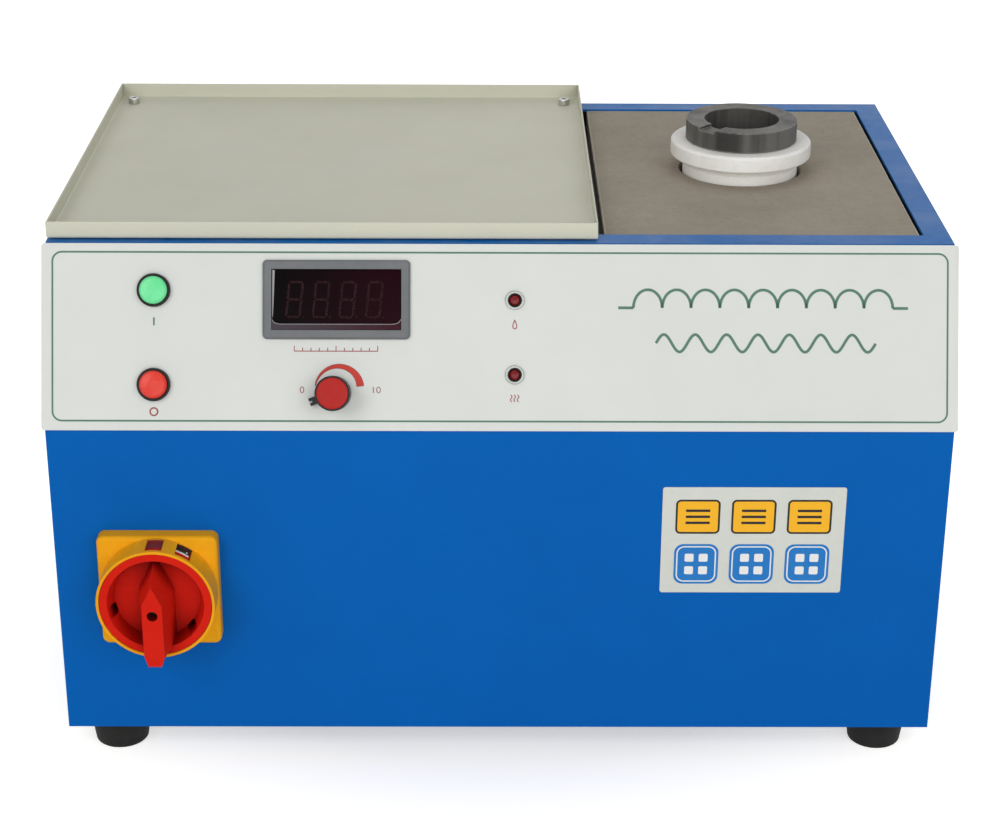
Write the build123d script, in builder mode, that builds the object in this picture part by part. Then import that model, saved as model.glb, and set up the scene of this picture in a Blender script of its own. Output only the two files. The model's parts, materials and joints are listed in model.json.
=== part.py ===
"""Bench-top induction furnace for melting gold, in millimetres.

+Z is up and the front faces -Y. The origin lies on the floor, under the middle of the cabinet.
Each sub-part is one node: it is built in its own BuildPart block and saved by save().
"""

import os
from math import atan2, cos, degrees, hypot, radians, sin, tan

from build123d import *

os.makedirs("parts", exist_ok=True)

# ---------------------------------------------------------------- driving dimensions

# Cabinet
body_width = 480
body_depth = 310
body_height = 272
panel_rise = 91  # height of the sloping panel, above the upright front
panel_setback = 38  # from the upright front back to the top panel's front edge
sheet = 1.5
base_flange = 15
top_flange = 15
seam = 0.4  # gap between two sheets that meet at an edge
slide_fit = 0.3  # gap between a fixed and a moving piece
hole_fit = 0.2  # gap on the radius of a fixed piece in its hole

# Feet
foot_height = 20
foot_top_radius = 17.5
foot_bottom_radius = 14.5
foot_inset_x = 25.4
foot_inset_y = 24.2
foot_edge_radius = 1.5
foot_recess = 4
foot_screw_radius = 2.5
foot_screw_head_radius = 5
foot_screw_head_height = 3
foot_screw_length = 22

# Control panel, with its own sheet
panel_sheet = 1.5
panel_return = 10

# Top window, its heat-resistant board and the ledge that carries it
window_width = 175.6
window_rim_right = 14
window_rim_front = 16  # behind the top panel's front edge
window_rim_back = 14
board_thickness = 10
board_gap_left = 5.2
board_gap_right = 1.6
board_gap_ends = 0.6
board_drop = 0.8
board_hole_radius = 35.2
ledge_width = 11
ledge_rim = 3
ledge_sheet = 2

# Tool tray
tray_window_overlap = 1.1  # of the tray over the window's left edge
tray_front_inset = 5  # behind the top panel's front edge
tray_back_overhang = 8  # past the cabinet's back
tray_sheet = 1.0
tray_height = 9.4
tray_spacer = 0.6
spacer_radius = 7
tray_screw_inset_x = 10
tray_screw_inset_front = 9
tray_screw_inset_back = 9  # from the cabinet's back
tray_bend = 1.5

# M4 cap screws of the tray
cap_screw_radius = 2.0
cap_head_radius = 3.5
cap_head_height = 4.0
cap_socket_flats = 3.0
cap_screw_length = 8

# Crucible and ceramic jacket
melt_offset_x = 1.8  # from the middle of the window
melt_offset_y = 1.5
crucible_bore_radius = 21.5
crucible_body_radius = 28.6
crucible_lip_radius = 32
crucible_lip_height = 11.5
crucible_length = 118
crucible_floor = 10
pour_slot_width = 10.5
pour_slot_depth = 1.8
pour_slot_angle = 225
jacket_bore_radius = 29.4
sleeve_radius = 33.2
flange_radius = 40.5
flange_height = 9.2
flange_lift = 8  # of the flange's underside above the top panel
sleeve_length = 125
sleeve_floor = 5

# Induction coil
coil_tube_radius = 4
coil_radius = 42  # to the middle of the tube
coil_pitch = 11.5
coil_turns = 6.5
coil_lift = 12  # of the lowest turn above the jacket's underside
coil_leg = 68
liner_wall = 3.2
coil_seat_height = 20
coil_seat_radius = 52
seat_recess = 3
coil_table_sheet = 5
coil_table_size = 120
post_radius = 5

# Output transformer, shelf and busbars
core_x = -8
core_width = 100
core_height = 80
core_depth = 60
core_limb = 17
core_centre_limb = 26
winding_gap = 0.5
winding_height = 46
winding_depth = 100
winding_width = 64
shelf_height = 108  # above the base pan
shelf_sheet = 2
shelf_width = 118
shelf_depth = 110
busbar_thickness = 4
busbar_width = 14
terminal_length = 18
terminal_height = 20
terminal_fit = 0.7

# Resonance capacitors under the shelf
tank_cap_width = 30
tank_cap_depth = 70
tank_cap_height = 60
tank_cap_count = 3
tank_cap_pitch = 34

# Water-cooled heat sink with its power modules
sink_x = -75
sink_y = -80
sink_width = 150
sink_depth = 80
sink_height = 24
sink_rail = 8
module_width = 34
module_depth = 62
module_height = 30
module_pitch = 48
bridge_size = 36
bridge_height = 24
port_radius = 4
port_length = 14
port_spacing = 46

# Filter capacitors
filter_cap_radius = 25
filter_cap_height = 90
filter_cap_pitch = 56
filter_cap_x = -100
filter_cap_y = 52

# Control transformer and contactor
supply_inset_x = 44  # of its middle from the cabinet's left side
supply_inset_y = 55  # and from its back
supply_width = 56
supply_depth = 46
supply_height = 50
contactor_y = -10
contactor_width = 46
contactor_depth = 60
contactor_height = 74

# Control board on the left side panel
pcb_y = 20
pcb_drop = 87  # of its middle below the top
pcb_width = 150
pcb_height = 90
pcb_thickness = 1.6
pcb_standoff = 10
standoff_radius = 3
pcb_hole_inset = 6
# Relays, driver chips and a terminal strip: size along Y, along Z and height; place; pitch; count.
board_rows = (
    ((16, 20, 16), (0, 22), 28, 4),
    ((22, 8, 4), (0, -4), 34, 4),
    ((100, 9, 11), (0, -30), 0, 1),
)

# Rear fan
fan_x = -110
fan_drop = 87  # of its middle below the top
fan_size = 92
fan_thickness = 25
fan_bore_radius = 43
fan_hub_radius = 18
fan_hub_depth = 16
fan_boss_depth = 4
fan_boss_radius = 17
fan_spindle_radius = 2
fan_spindle_fit = 0.05
fan_blade_count = 7
fan_blade_thickness = 1.8
fan_blade_chord = 18
fan_blade_tilt = 38
fan_tip_gap = 1.5
fan_hole_spacing = 82.5
guard_wire = 1.2
guard_ring_count = 4

# Rear fittings
inlet_offset = -65  # from the melt centre
outlet_offset = -15
nipple_z = 62  # above the floor
nipple_reach = 37.5
nipple_tail_radius = 5
nipple_bore_radius = 3
nipple_tail_length = 26
nipple_flats = 17
nipple_thread_radius = 6.5
nipple_nut_height = 5
nipple_inner_length = 16
gland_inset = 45  # from the cabinet's left side
gland_z = 62  # above the floor
gland_bore_radius = 5.5
gland_thread_radius = 9.5
gland_flats = 24
gland_reach = 26
gland_hex_height = 8
gland_nut_height = 5
gland_inner_length = 10
earth_inset = 90  # from the cabinet's left side
earth_z = 50  # above the floor
earth_radius = 3
earth_length = 22
earth_nut_flats = 10
earth_nut_height = 5

# Water path
flow_switch_width = 26
flow_switch_length = 44
flow_sensor_radius = 9
flow_sensor_height = 26
hose_radius = 5.5
hose_lead = 28

# Isolator switch: a square plate with a round collar, and a turning handle
isolator_inset = 56.35  # from the cabinet's left side
isolator_z = 110  # above the floor
plate_size = 64.8
plate_thickness = 8.7
plate_bevel = 2.2
plate_corner = 4
collar_radius = 31.75
collar_front = 24.7  # in front of the upright front
handle_radius = 30
handle_back = 3.6
plate_floor = 3.0
dish_radius = 26
dish_depth = 8.5
dish_taper = 20
bar_front = 37.5
bar_front_width = 10.7
bar_base_width = 19
bar_tip = 17
bar_ridge_top = 26.3
bar_shoulder = 6
bar_front_bottom = 24.5
bar_tail_reach = 30.5
bar_tail_front = 37.2
tail_gap = 0.6
bar_base_bottom = 27.5
handle_rim_drop = 0.4
bar_tail_width = 7.2
slot_ring_radius = 24
slot_length = 7
slot_width = 3
slot_angles = (5, 131, 256)  # clockwise from the top
isolator_window_angles = (0, 29.5)  # clockwise from the top
isolator_window_width = 9
isolator_window_depth = 12.5
isolator_window_back = 10
screw_hole_radius = 2.9
screw_radius = 1.5
screw_slot = 0.8
screw_grip = 7
screw_hole_depth = 9
screw_head_radius = 2.7
screw_head_height = 2.5
isolator_shaft_size = 6
isolator_shaft_socket = 12
isolator_shaft_hole = 5.2
isolator_body_size = 46
isolator_body_depth = 44
isolator_terminal_height = 5

# Illuminated push buttons: green starts, red stops
button_inset = 57.4  # from the cabinet's left side
button_start_s = 73.9  # up the slope from the control panel's lower edge
button_stop_s = 24.2
button_bezel_radius = 8.8
button_bezel_height = 2.6
button_barrel_radius = 8
button_barrel_length = 22
button_cap_radius = 7.3
button_cap_round = 1.2
button_travel = 3
button_floor = 9
button_block_size = 15
button_block_length = 14
button_nut_flats = 18
button_nut_height = 3

# Panel meter
meter_x = -86.45
meter_s = 69.1
meter_width = 77.7
meter_height = 41.8
meter_corner = 2.5
meter_bezel = 2.6
meter_bezel_bevel = 1.2
meter_window_width = 68.4
meter_window_height = 32.2
meter_window_thickness = 1.5
meter_window_inset = 0.6
meter_body_width = 75
meter_body_height = 39
meter_body_depth = 42

# Power knob on its potentiometer
knob_x = -87.7
knob_s = 19.8
knob_radius = 9.2
knob_front = 16
knob_back = 1.2
knob_cap_radius = 8.3
knob_cap_thickness = 1.4
knob_cap_proud = 0.4
knob_recess_radius = 7
knob_recess_depth = 5
pointer_angle = 249  # clockwise from the top
pointer_length = 4.3
pointer_width = 4.2
pointer_thickness = 3
pointer_notch_length = 3
pointer_notch_width = 1
pot_shaft_radius = 3
pot_shaft_fit = 0.05
pot_socket_depth = 7
pot_bush_radius = 4.5
pot_bush_proud = 0.5
pot_body_radius = 12
pot_body_depth = 12
pot_nut_flats = 11
pot_nut_height = 2

# Indicator lamps
lamp_x = 7.5
lamp_water_s = 69.0
lamp_heat_s = 29.7
lamp_lens_radius = 3.5
lamp_bezel_radius = 5
lamp_bezel_height = 1.6
lamp_body_radius = 4
lamp_body_length = 16
lamp_lens_proud = 2.6
lamp_lens_round = 2
lamp_lens_seat = 4

# Blank plate on the front
label_inset = 103.8  # from the cabinet's right side
label_z = 117.1  # above the cabinet's lower edge
label_width = 98.4
label_height = 63.2
label_thickness = 0.6
label_corner = 1.5

# Vents in the side panels
vent_length = 70
vent_height = 4
vent_pitch = 12
vent_row_count = 9
vent_column_count = 2
vent_column_pitch = 90
vent_y = 20
vent_z = 150  # above the floor

# M4 pan-head screws of the sheet-metal panels
pan_screw_radius = 2.0
pan_head_radius = 3.8
pan_head_height = 2.4
pan_screw_length = 8
pan_screw_inset = 8
rear_screw_middle = 78

# ---------------------------------------------------------------- derived places

half_width = body_width / 2
front_y = -body_depth / 2
rear_y = body_depth / 2
box_bottom = foot_height
box_top = box_bottom + body_height
front_height = body_height - panel_rise
panel_length = hypot(panel_setback, panel_rise)
panel_tilt = atan2(panel_setback, panel_rise)
panel_foot_z = box_bottom + front_height
panel_half_width = half_width + seam + panel_sheet
base_floor = box_bottom + sheet
inner_half_width = half_width - sheet
inner_front = front_y + sheet
inner_rear = rear_y - sheet
side_flange = window_rim_right - sheet - ledge_rim - seam
window_right = half_width - window_rim_right
window_left = window_right - window_width
window_front = panel_setback + window_rim_front
window_back = body_depth - window_rim_back
window_x = (window_left + window_right) / 2
window_y = front_y + (window_front + window_back) / 2
melt_centre = (window_x + melt_offset_x, window_y + melt_offset_y)
tray_left = -half_width
tray_right = window_left + tray_window_overlap
tray_front = panel_setback + tray_front_inset
tray_back = body_depth + tray_back_overhang
supply_x = -half_width + supply_inset_x
supply_y = rear_y - supply_inset_y
pcb_z = box_top - pcb_drop
fan_z = box_top - fan_drop
inlet_x = melt_centre[0] + inlet_offset
outlet_x = melt_centre[0] + outlet_offset
gland_x = -half_width + gland_inset
earth_x = -half_width + earth_inset
isolator_x = -half_width + isolator_inset
button_x = -half_width + button_inset
label_x = half_width - label_inset

panel_plane = Plane(
    origin=(0, front_y, panel_foot_z),
    x_dir=(1, 0, 0),
    z_dir=(0, -cos(panel_tilt), sin(panel_tilt)),
)
front_plane = Plane(origin=(0, front_y, 0), x_dir=(1, 0, 0), z_dir=(0, -1, 0))
rear_plane = Plane(origin=(0, rear_y, 0), x_dir=(-1, 0, 0), z_dir=(0, 1, 0))


def save(builder, name):
    """Label a finished piece and write its STEP file."""
    builder.part.label = name
    export_step(builder.part, f"parts/{name}.step")


def slope_y(z, inset):
    """Y of the sloping face at height z, moved inwards by inset along its normal."""
    return front_y + (z - panel_foot_z) * tan(panel_tilt) + inset / cos(panel_tilt)


def slope_z(y, inset):
    """Height of the sloping face at depth y, moved inwards by inset along its normal."""
    return panel_foot_z + (y - front_y - inset / cos(panel_tilt)) / tan(panel_tilt)


def clock(angle, radius):
    """X and upward distance of a point at a clock angle in degrees, clockwise from the top."""
    return (radius * sin(radians(angle)), radius * cos(radians(angle)))


def panel_at(x, s):
    """The control panel's outer face, with its origin at x and s up the slope."""
    return Plane(panel_plane.from_local_coords(Vector(x, s, 0)), panel_plane.x_dir, panel_plane.z_dir)


def hexagon(flats, hole_radius):
    """A hexagon with a round hole, drawn in the sketch that is open."""
    RegularPolygon(flats / 2, 6, major_radius=False)
    Circle(hole_radius, mode=Mode.SUBTRACT)


# ---------------------------------------------------------------- screw places

rear_screw_spots = [
    (side * x, z)
    for side in (-1, 1)
    for x in (half_width - pan_screw_inset, rear_screw_middle)
    for z in (box_bottom + pan_screw_inset, box_top - sheet - pan_screw_inset)
]
tray_x = (tray_left + tray_right) / 2
tray_y = front_y + (tray_front + tray_back) / 2
tray_width = tray_right - tray_left
tray_depth = tray_back - tray_front
tray_screw_front = front_y + tray_front + tray_screw_inset_front
tray_screw_back = rear_y - tray_screw_inset_back
tray_screw_centre = (tray_x, (tray_screw_front + tray_screw_back) / 2)
tray_screw_spread = (tray_width - 2 * tray_screw_inset_x, tray_screw_back - tray_screw_front)


def rear_screw_holes():
    """Cut the rear panel's screw holes through the panel and the flange behind it."""
    with BuildSketch(rear_plane) as holes:
        with Locations(*rear_screw_spots):
            Circle(pan_screw_radius)
    extrude(holes.sketch, amount=-2 * sheet, mode=Mode.SUBTRACT)


def tray_screw_circles(radius, z, height, mode=Mode.ADD):
    """A cylinder of this radius and height at each of the tray's screws, from z upwards."""
    with BuildSketch(Plane.XY.offset(z)) as circles:
        with Locations(tray_screw_centre):
            with GridLocations(*tray_screw_spread, 2, 2):
                Circle(radius)
    extrude(circles.sketch, amount=height, mode=mode)


# ---------------------------------------------------------------- cabinet sheet metal

side_outline = [
    (inner_front, box_bottom),
    (inner_rear, box_bottom),
    (inner_rear, box_top - sheet),
    (slope_y(box_top - sheet, panel_sheet), box_top - sheet),
    (inner_front, slope_z(inner_front, panel_sheet)),
]

for side, name in ((-1, "side_panel_left"), (1, "side_panel_right")):
    outer_face = Plane.YZ.offset(side * half_width)
    inner_face = Plane.YZ.offset(side * inner_half_width)
    with BuildPart() as side_panel:
        # The plate, then its flanges: a ring of the same outline, folded inwards.
        with BuildSketch(outer_face):
            Polygon(*side_outline, align=None)
        extrude(amount=-side * sheet)
        with BuildSketch(inner_face):
            Polygon(*side_outline, align=None)
            offset(amount=-sheet, kind=Kind.INTERSECTION, mode=Mode.SUBTRACT)
        extrude(amount=-side * side_flange)
        # The lower edge has no flange, because the base pan's own flanges stand there.
        with BuildSketch(inner_face):
            with Locations(((inner_front + inner_rear) / 2, box_bottom)):
                Rectangle(body_depth, 2 * (base_flange + seam))
        extrude(amount=-side * side_flange, mode=Mode.SUBTRACT)
        with BuildSketch(outer_face):
            with Locations((vent_y, vent_z)):
                with GridLocations(vent_column_pitch, vent_pitch, vent_column_count, vent_row_count):
                    SlotOverall(vent_length, vent_height)
        extrude(amount=-side * sheet, mode=Mode.SUBTRACT)
        rear_screw_holes()
        tray_screw_circles(cap_screw_radius, box_top, -2 * sheet, Mode.SUBTRACT)
    save(side_panel, name)

front_top_z = panel_foot_z - panel_sheet * sin(panel_tilt) - seam
with BuildPart() as front_panel:
    with BuildSketch(front_plane):
        with Locations((0, (box_bottom + front_top_z) / 2)):
            Rectangle(body_width, front_top_z - box_bottom)
        with Locations((isolator_x, isolator_z)):
            Circle(isolator_shaft_size, mode=Mode.SUBTRACT)
    extrude(amount=-sheet)
save(front_panel, "front_panel")

with BuildPart() as base_pan:
    with BuildSketch(Plane.XY.offset(box_bottom)):
        with Locations((0, (inner_front + inner_rear) / 2)):
            Rectangle(2 * inner_half_width, inner_rear - inner_front)
        with GridLocations(body_width - 2 * foot_inset_x, body_depth - 2 * foot_inset_y, 2, 2):
            Circle(foot_screw_radius + hole_fit, mode=Mode.SUBTRACT)
    extrude(amount=sheet)
    with BuildSketch(Plane.XY.offset(box_bottom)):
        with Locations((0, (inner_front + inner_rear) / 2)):
            Rectangle(2 * inner_half_width, inner_rear - inner_front)
            offset(amount=-sheet, kind=Kind.INTERSECTION, mode=Mode.SUBTRACT)
    extrude(amount=base_flange)
    rear_screw_holes()
save(base_pan, "base_pan")

top_front_y = front_y + panel_setback + panel_sheet * cos(panel_tilt) + seam
window_depth = window_back - window_front
with BuildPart() as top_panel:
    with BuildSketch(Plane.XY.offset(box_top)):
        with Locations((0, (top_front_y + rear_y) / 2)):
            Rectangle(body_width, rear_y - top_front_y)
        with Locations((window_x, window_y)):
            Rectangle(window_width, window_depth, mode=Mode.SUBTRACT)
    extrude(amount=-sheet)
    # The rear edge is folded down behind the rear panel, between the side panels' flanges.
    with BuildSketch(Plane.XZ.offset(-inner_rear)):
        with Locations((0, box_top - sheet - top_flange / 2)):
            Rectangle(2 * (inner_half_width - side_flange - seam), top_flange)
    extrude(amount=sheet)
    rear_screw_holes()
    tray_screw_circles(cap_screw_radius, box_top, -sheet, Mode.SUBTRACT)
save(top_panel, "top_panel")

with BuildPart() as rear_panel:
    with BuildSketch(rear_plane):
        with Locations((0, (box_bottom + box_top - sheet) / 2)):
            Rectangle(body_width, body_height - sheet)
        with Locations((-fan_x, fan_z)):
            Circle(fan_bore_radius, mode=Mode.SUBTRACT)
            with GridLocations(fan_hole_spacing, fan_hole_spacing, 2, 2):
                Circle(pan_screw_radius, mode=Mode.SUBTRACT)
        with Locations(*[(-x, nipple_z) for x in (inlet_x, outlet_x)]):
            Circle(nipple_thread_radius + hole_fit, mode=Mode.SUBTRACT)
        with Locations((-gland_x, gland_z)):
            Circle(gland_thread_radius + hole_fit, mode=Mode.SUBTRACT)
        with Locations((-earth_x, earth_z)):
            Circle(earth_radius + hole_fit, mode=Mode.SUBTRACT)
        with Locations(*rear_screw_spots):
            Circle(pan_screw_radius, mode=Mode.SUBTRACT)
    extrude(amount=-sheet)
save(rear_panel, "rear_panel")

panel_holes = {
    "button": button_barrel_radius + hole_fit,
    "lamp": lamp_body_radius + hole_fit,
    "knob": pot_bush_radius + hole_fit,
}
with BuildPart() as control_panel:
    with BuildSketch(panel_plane) as panel_face:
        with Locations((0, panel_length / 2)):
            Rectangle(2 * panel_half_width, panel_length)
        fillet(panel_face.vertices(), panel_sheet)
    extrude(amount=-panel_return)
    # Hollow it from behind, between the two side returns.
    with BuildSketch(panel_plane.offset(-panel_sheet)):
        with Locations((0, panel_length / 2)):
            Rectangle(2 * (panel_half_width - panel_sheet), 2 * panel_length)
    extrude(amount=-panel_return, mode=Mode.SUBTRACT)
    with BuildSketch(panel_plane):
        with Locations((button_x, button_start_s), (button_x, button_stop_s)):
            Circle(panel_holes["button"])
        with Locations((lamp_x, lamp_water_s), (lamp_x, lamp_heat_s)):
            Circle(panel_holes["lamp"])
        with Locations((knob_x, knob_s)):
            Circle(panel_holes["knob"])
        with Locations((meter_x, meter_s)):
            Rectangle(meter_body_width + 2 * hole_fit, meter_body_height + 2 * hole_fit)
    extrude(amount=-panel_sheet, mode=Mode.SUBTRACT)
save(control_panel, "control_panel")

# ---------------------------------------------------------------- feet

foot_spread = (body_width - 2 * foot_inset_x, body_depth - 2 * foot_inset_y)
foot_taper = degrees(atan2(foot_top_radius - foot_bottom_radius, foot_height))
with BuildPart() as rubber_feet:
    with BuildSketch(Plane.XY.offset(foot_height)):
        with GridLocations(*foot_spread, 2, 2):
            Circle(foot_top_radius)
    extrude(amount=-foot_height, taper=foot_taper)
    fillet(rubber_feet.edges().group_by(Axis.Z)[0], foot_edge_radius)
    # A screw hole with a deep counterbore from below.
    with BuildSketch(Plane.XY):
        with GridLocations(*foot_spread, 2, 2):
            Circle(foot_screw_radius + hole_fit)
    extrude(amount=foot_height, mode=Mode.SUBTRACT)
    with BuildSketch(Plane.XY):
        with GridLocations(*foot_spread, 2, 2):
            Circle(foot_screw_head_radius + hole_fit)
    extrude(amount=foot_recess + foot_screw_head_height, mode=Mode.SUBTRACT)
save(rubber_feet, "rubber_feet")

with BuildPart() as foot_screws:
    with BuildSketch(Plane.XY.offset(foot_recess)):
        with GridLocations(*foot_spread, 2, 2):
            Circle(foot_screw_head_radius)
    extrude(amount=foot_screw_head_height)
    with BuildSketch(Plane.XY.offset(foot_recess)):
        with GridLocations(*foot_spread, 2, 2):
            Circle(foot_screw_radius)
    extrude(amount=foot_screw_length)
save(foot_screws, "foot_screws")

# ---------------------------------------------------------------- rear screws

rear_screw_length = sheet + pan_screw_length
with BuildPart() as rear_screws:
    with BuildSketch(rear_plane):
        with Locations(*rear_screw_spots):
            Circle(pan_head_radius)
    extrude(amount=pan_head_height)
    with BuildSketch(rear_plane):
        with Locations(*rear_screw_spots):
            Circle(pan_screw_radius)
    extrude(amount=-rear_screw_length)
    # Four more of them hold the fan and its guard.
    with BuildSketch(rear_plane.offset(guard_wire)):
        with Locations((-fan_x, fan_z)):
            with GridLocations(fan_hole_spacing, fan_hole_spacing, 2, 2):
                Circle(pan_head_radius)
    extrude(amount=pan_head_height)
    with BuildSketch(rear_plane.offset(guard_wire)):
        with Locations((-fan_x, fan_z)):
            with GridLocations(fan_hole_spacing, fan_hole_spacing, 2, 2):
                Circle(pan_screw_radius)
    extrude(amount=-(guard_wire + sheet + fan_thickness))
save(rear_screws, "rear_screws")

# ---------------------------------------------------------------- window ledge and board

board_top = box_top - board_drop
board_bottom = board_top - board_thickness
with BuildPart() as board_ledge:
    # A ring of angle strip: its upright leg meets the top panel, its foot carries the board.
    with BuildSketch(Plane.XY.offset(board_bottom)):
        with Locations((window_x, window_y)):
            Rectangle(window_width + 2 * ledge_rim, window_depth + 2 * ledge_rim)
            Rectangle(window_width - 2 * ledge_width, window_depth - 2 * ledge_width, mode=Mode.SUBTRACT)
    extrude(amount=-ledge_sheet)
    with BuildSketch(Plane.XY.offset(board_bottom)):
        with Locations((window_x, window_y)):
            Rectangle(window_width + 2 * ledge_rim, window_depth + 2 * ledge_rim)
            Rectangle(
                window_width + 2 * ledge_rim - 2 * ledge_sheet,
                window_depth + 2 * ledge_rim - 2 * ledge_sheet,
                mode=Mode.SUBTRACT,
            )
    extrude(amount=box_top - sheet - board_bottom)
save(board_ledge, "board_ledge")

board_left = window_left + board_gap_left
board_right = window_right - board_gap_right
with BuildPart() as insulation_board:
    with BuildSketch(Plane.XY.offset(board_bottom)):
        with Locations(((board_left + board_right) / 2, window_y)):
            Rectangle(board_right - board_left, window_depth - 2 * board_gap_ends)
        with Locations(melt_centre):
            Circle(board_hole_radius, mode=Mode.SUBTRACT)
    extrude(amount=board_thickness)
save(insulation_board, "insulation_board")

# ---------------------------------------------------------------- tool tray

tray_bottom = box_top + tray_spacer
tray_floor = tray_bottom + tray_sheet
tray_plane = Plane.XY.offset(tray_bottom)
with BuildPart() as tool_tray:
    with BuildSketch(tray_plane):
        with Locations((tray_x, tray_y)):
            Rectangle(tray_width, tray_depth)
    extrude(amount=tray_height)
    fillet(tool_tray.faces().sort_by(Axis.Z)[0].edges(), tray_bend)
    with BuildSketch(Plane.XY.offset(tray_floor)):
        with Locations((tray_x, tray_y)):
            Rectangle(tray_width - 2 * tray_sheet, tray_depth - 2 * tray_sheet)
    extrude(amount=tray_height, mode=Mode.SUBTRACT)
    tray_screw_circles(cap_screw_radius + hole_fit, tray_bottom, tray_sheet, Mode.SUBTRACT)
save(tool_tray, "tool_tray")

with BuildPart() as tray_screws:
    # A spacer washer under the tray for each screw, then the screws.
    tray_screw_circles(spacer_radius, box_top, tray_spacer)
    tray_screw_circles(cap_screw_radius + hole_fit, box_top, tray_spacer, Mode.SUBTRACT)
    tray_screw_circles(cap_head_radius, tray_floor, cap_head_height)
    tray_screw_circles(cap_screw_radius, tray_floor, -cap_screw_length)
    with BuildSketch(Plane.XY.offset(tray_floor + cap_head_height)):
        with Locations(tray_screw_centre):
            with GridLocations(*tray_screw_spread, 2, 2):
                RegularPolygon(cap_socket_flats / 2, 6, major_radius=False)
    extrude(amount=-cap_head_height / 2, mode=Mode.SUBTRACT)
save(tray_screws, "tray_screws")

# ---------------------------------------------------------------- crucible and jacket

flange_bottom = box_top + flange_lift
flange_top = flange_bottom + flange_height
sleeve_bottom = flange_bottom - sleeve_length
lip_bottom = flange_top + slide_fit
crucible_top = lip_bottom + crucible_lip_height

with BuildPart() as ceramic_sleeve:
    with BuildSketch(Plane.XY.offset(sleeve_bottom)):
        with Locations(melt_centre):
            Circle(sleeve_radius)
    extrude(amount=sleeve_length)
    with BuildSketch(Plane.XY.offset(sleeve_bottom + sleeve_floor)):
        with Locations(melt_centre):
            Circle(jacket_bore_radius)
    extrude(amount=sleeve_length, mode=Mode.SUBTRACT)
save(ceramic_sleeve, "ceramic_sleeve")

with BuildPart() as ceramic_flange:
    with BuildSketch(Plane.XY.offset(flange_bottom)):
        with Locations(melt_centre):
            Circle(flange_radius)
            Circle(jacket_bore_radius, mode=Mode.SUBTRACT)
    extrude(amount=flange_height)
    fillet(ceramic_flange.faces().sort_by(Axis.Z)[-1].outer_wire().edges(), 1.2)
save(ceramic_flange, "ceramic_flange")

slot_direction = (cos(radians(pour_slot_angle)), sin(radians(pour_slot_angle)))
slot_middle = (crucible_bore_radius + crucible_lip_radius) / 2
slot_reach = crucible_lip_radius - crucible_bore_radius + pour_slot_width
with BuildPart() as graphite_crucible:
    with BuildSketch(Plane.XY.offset(crucible_top)):
        with Locations(melt_centre):
            Circle(crucible_body_radius)
    extrude(amount=-crucible_length)
    fillet(graphite_crucible.edges().sort_by(Axis.Z)[0], 3)
    with BuildSketch(Plane.XY.offset(lip_bottom)):
        with Locations(melt_centre):
            Circle(crucible_lip_radius)
    extrude(amount=crucible_lip_height)
    with BuildSketch(Plane.XY.offset(crucible_top)):
        with Locations(melt_centre):
            Circle(crucible_bore_radius)
    extrude(amount=crucible_floor - crucible_length, mode=Mode.SUBTRACT)
    with BuildSketch(Plane.XY.offset(crucible_top)):
        with Locations(
            Location(
                (
                    melt_centre[0] + slot_middle * slot_direction[0],
                    melt_centre[1] + slot_middle * slot_direction[1],
                    0,
                ),
                (0, 0, pour_slot_angle),
            )
        ):
            Rectangle(slot_reach, pour_slot_width)
    extrude(amount=-pour_slot_depth, mode=Mode.SUBTRACT)
save(graphite_crucible, "graphite_crucible")

# ---------------------------------------------------------------- induction coil and its supports

liner_bore_radius = sleeve_radius + 2 * slide_fit
seat_floor = sleeve_bottom - slide_fit
coil_bottom = sleeve_bottom + coil_lift
coil_height = coil_pitch * coil_turns
# The helix starts at the front of the coil and ends at its back, and both ends point to -X.
helix = Location((*melt_centre, coil_bottom), (0, 0, -90)) * Helix(coil_pitch, coil_height, coil_radius)
with BuildPart() as induction_coil:
    with BuildLine() as coil_path:
        Line(helix @ 0 - (helix % 0) * coil_leg, helix @ 0)
        add(helix)
        Line(helix @ 1, helix @ 1 + (helix % 1) * coil_leg)
    coil_wire = coil_path.wire()
    with BuildSketch(Plane(coil_wire @ 0, z_dir=coil_wire % 0)):
        Circle(coil_tube_radius)
    sweep(path=coil_wire)
save(induction_coil, "induction_coil")
front_leg_end = coil_wire @ 0
back_leg_end = coil_wire @ 1

with BuildPart() as coil_liner:
    with BuildSketch(Plane.XY.offset(seat_floor + seat_recess)):
        with Locations(melt_centre):
            Circle(liner_bore_radius + liner_wall)
            Circle(liner_bore_radius, mode=Mode.SUBTRACT)
    extrude(amount=board_bottom - seat_floor - seat_recess)
save(coil_liner, "coil_liner")

seat_bottom = seat_floor + seat_recess - coil_seat_height
with BuildPart() as coil_seat:
    with BuildSketch(Plane.XY.offset(seat_bottom)):
        with Locations(melt_centre):
            Circle(coil_seat_radius)
    extrude(amount=coil_seat_height)
    with BuildSketch(Plane.XY.offset(seat_floor)):
        with Locations(melt_centre):
            Circle(liner_bore_radius)
    extrude(amount=seat_recess, mode=Mode.SUBTRACT)
save(coil_seat, "coil_seat")

table_bottom = seat_bottom - coil_table_sheet
post_spread = coil_table_size - 4 * post_radius
with BuildPart() as coil_table:
    with BuildSketch(Plane.XY.offset(table_bottom)):
        with Locations(melt_centre):
            RectangleRounded(coil_table_size, coil_table_size, 2 * post_radius)
    extrude(amount=coil_table_sheet)
save(coil_table, "coil_table")

with BuildPart() as coil_posts:
    with BuildSketch(Plane.XY.offset(base_floor)):
        with Locations(melt_centre):
            with GridLocations(post_spread, post_spread, 2, 2):
                Circle(post_radius)
    extrude(amount=table_bottom - base_floor)
save(coil_posts, "coil_posts")

# ---------------------------------------------------------------- output transformer

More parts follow.
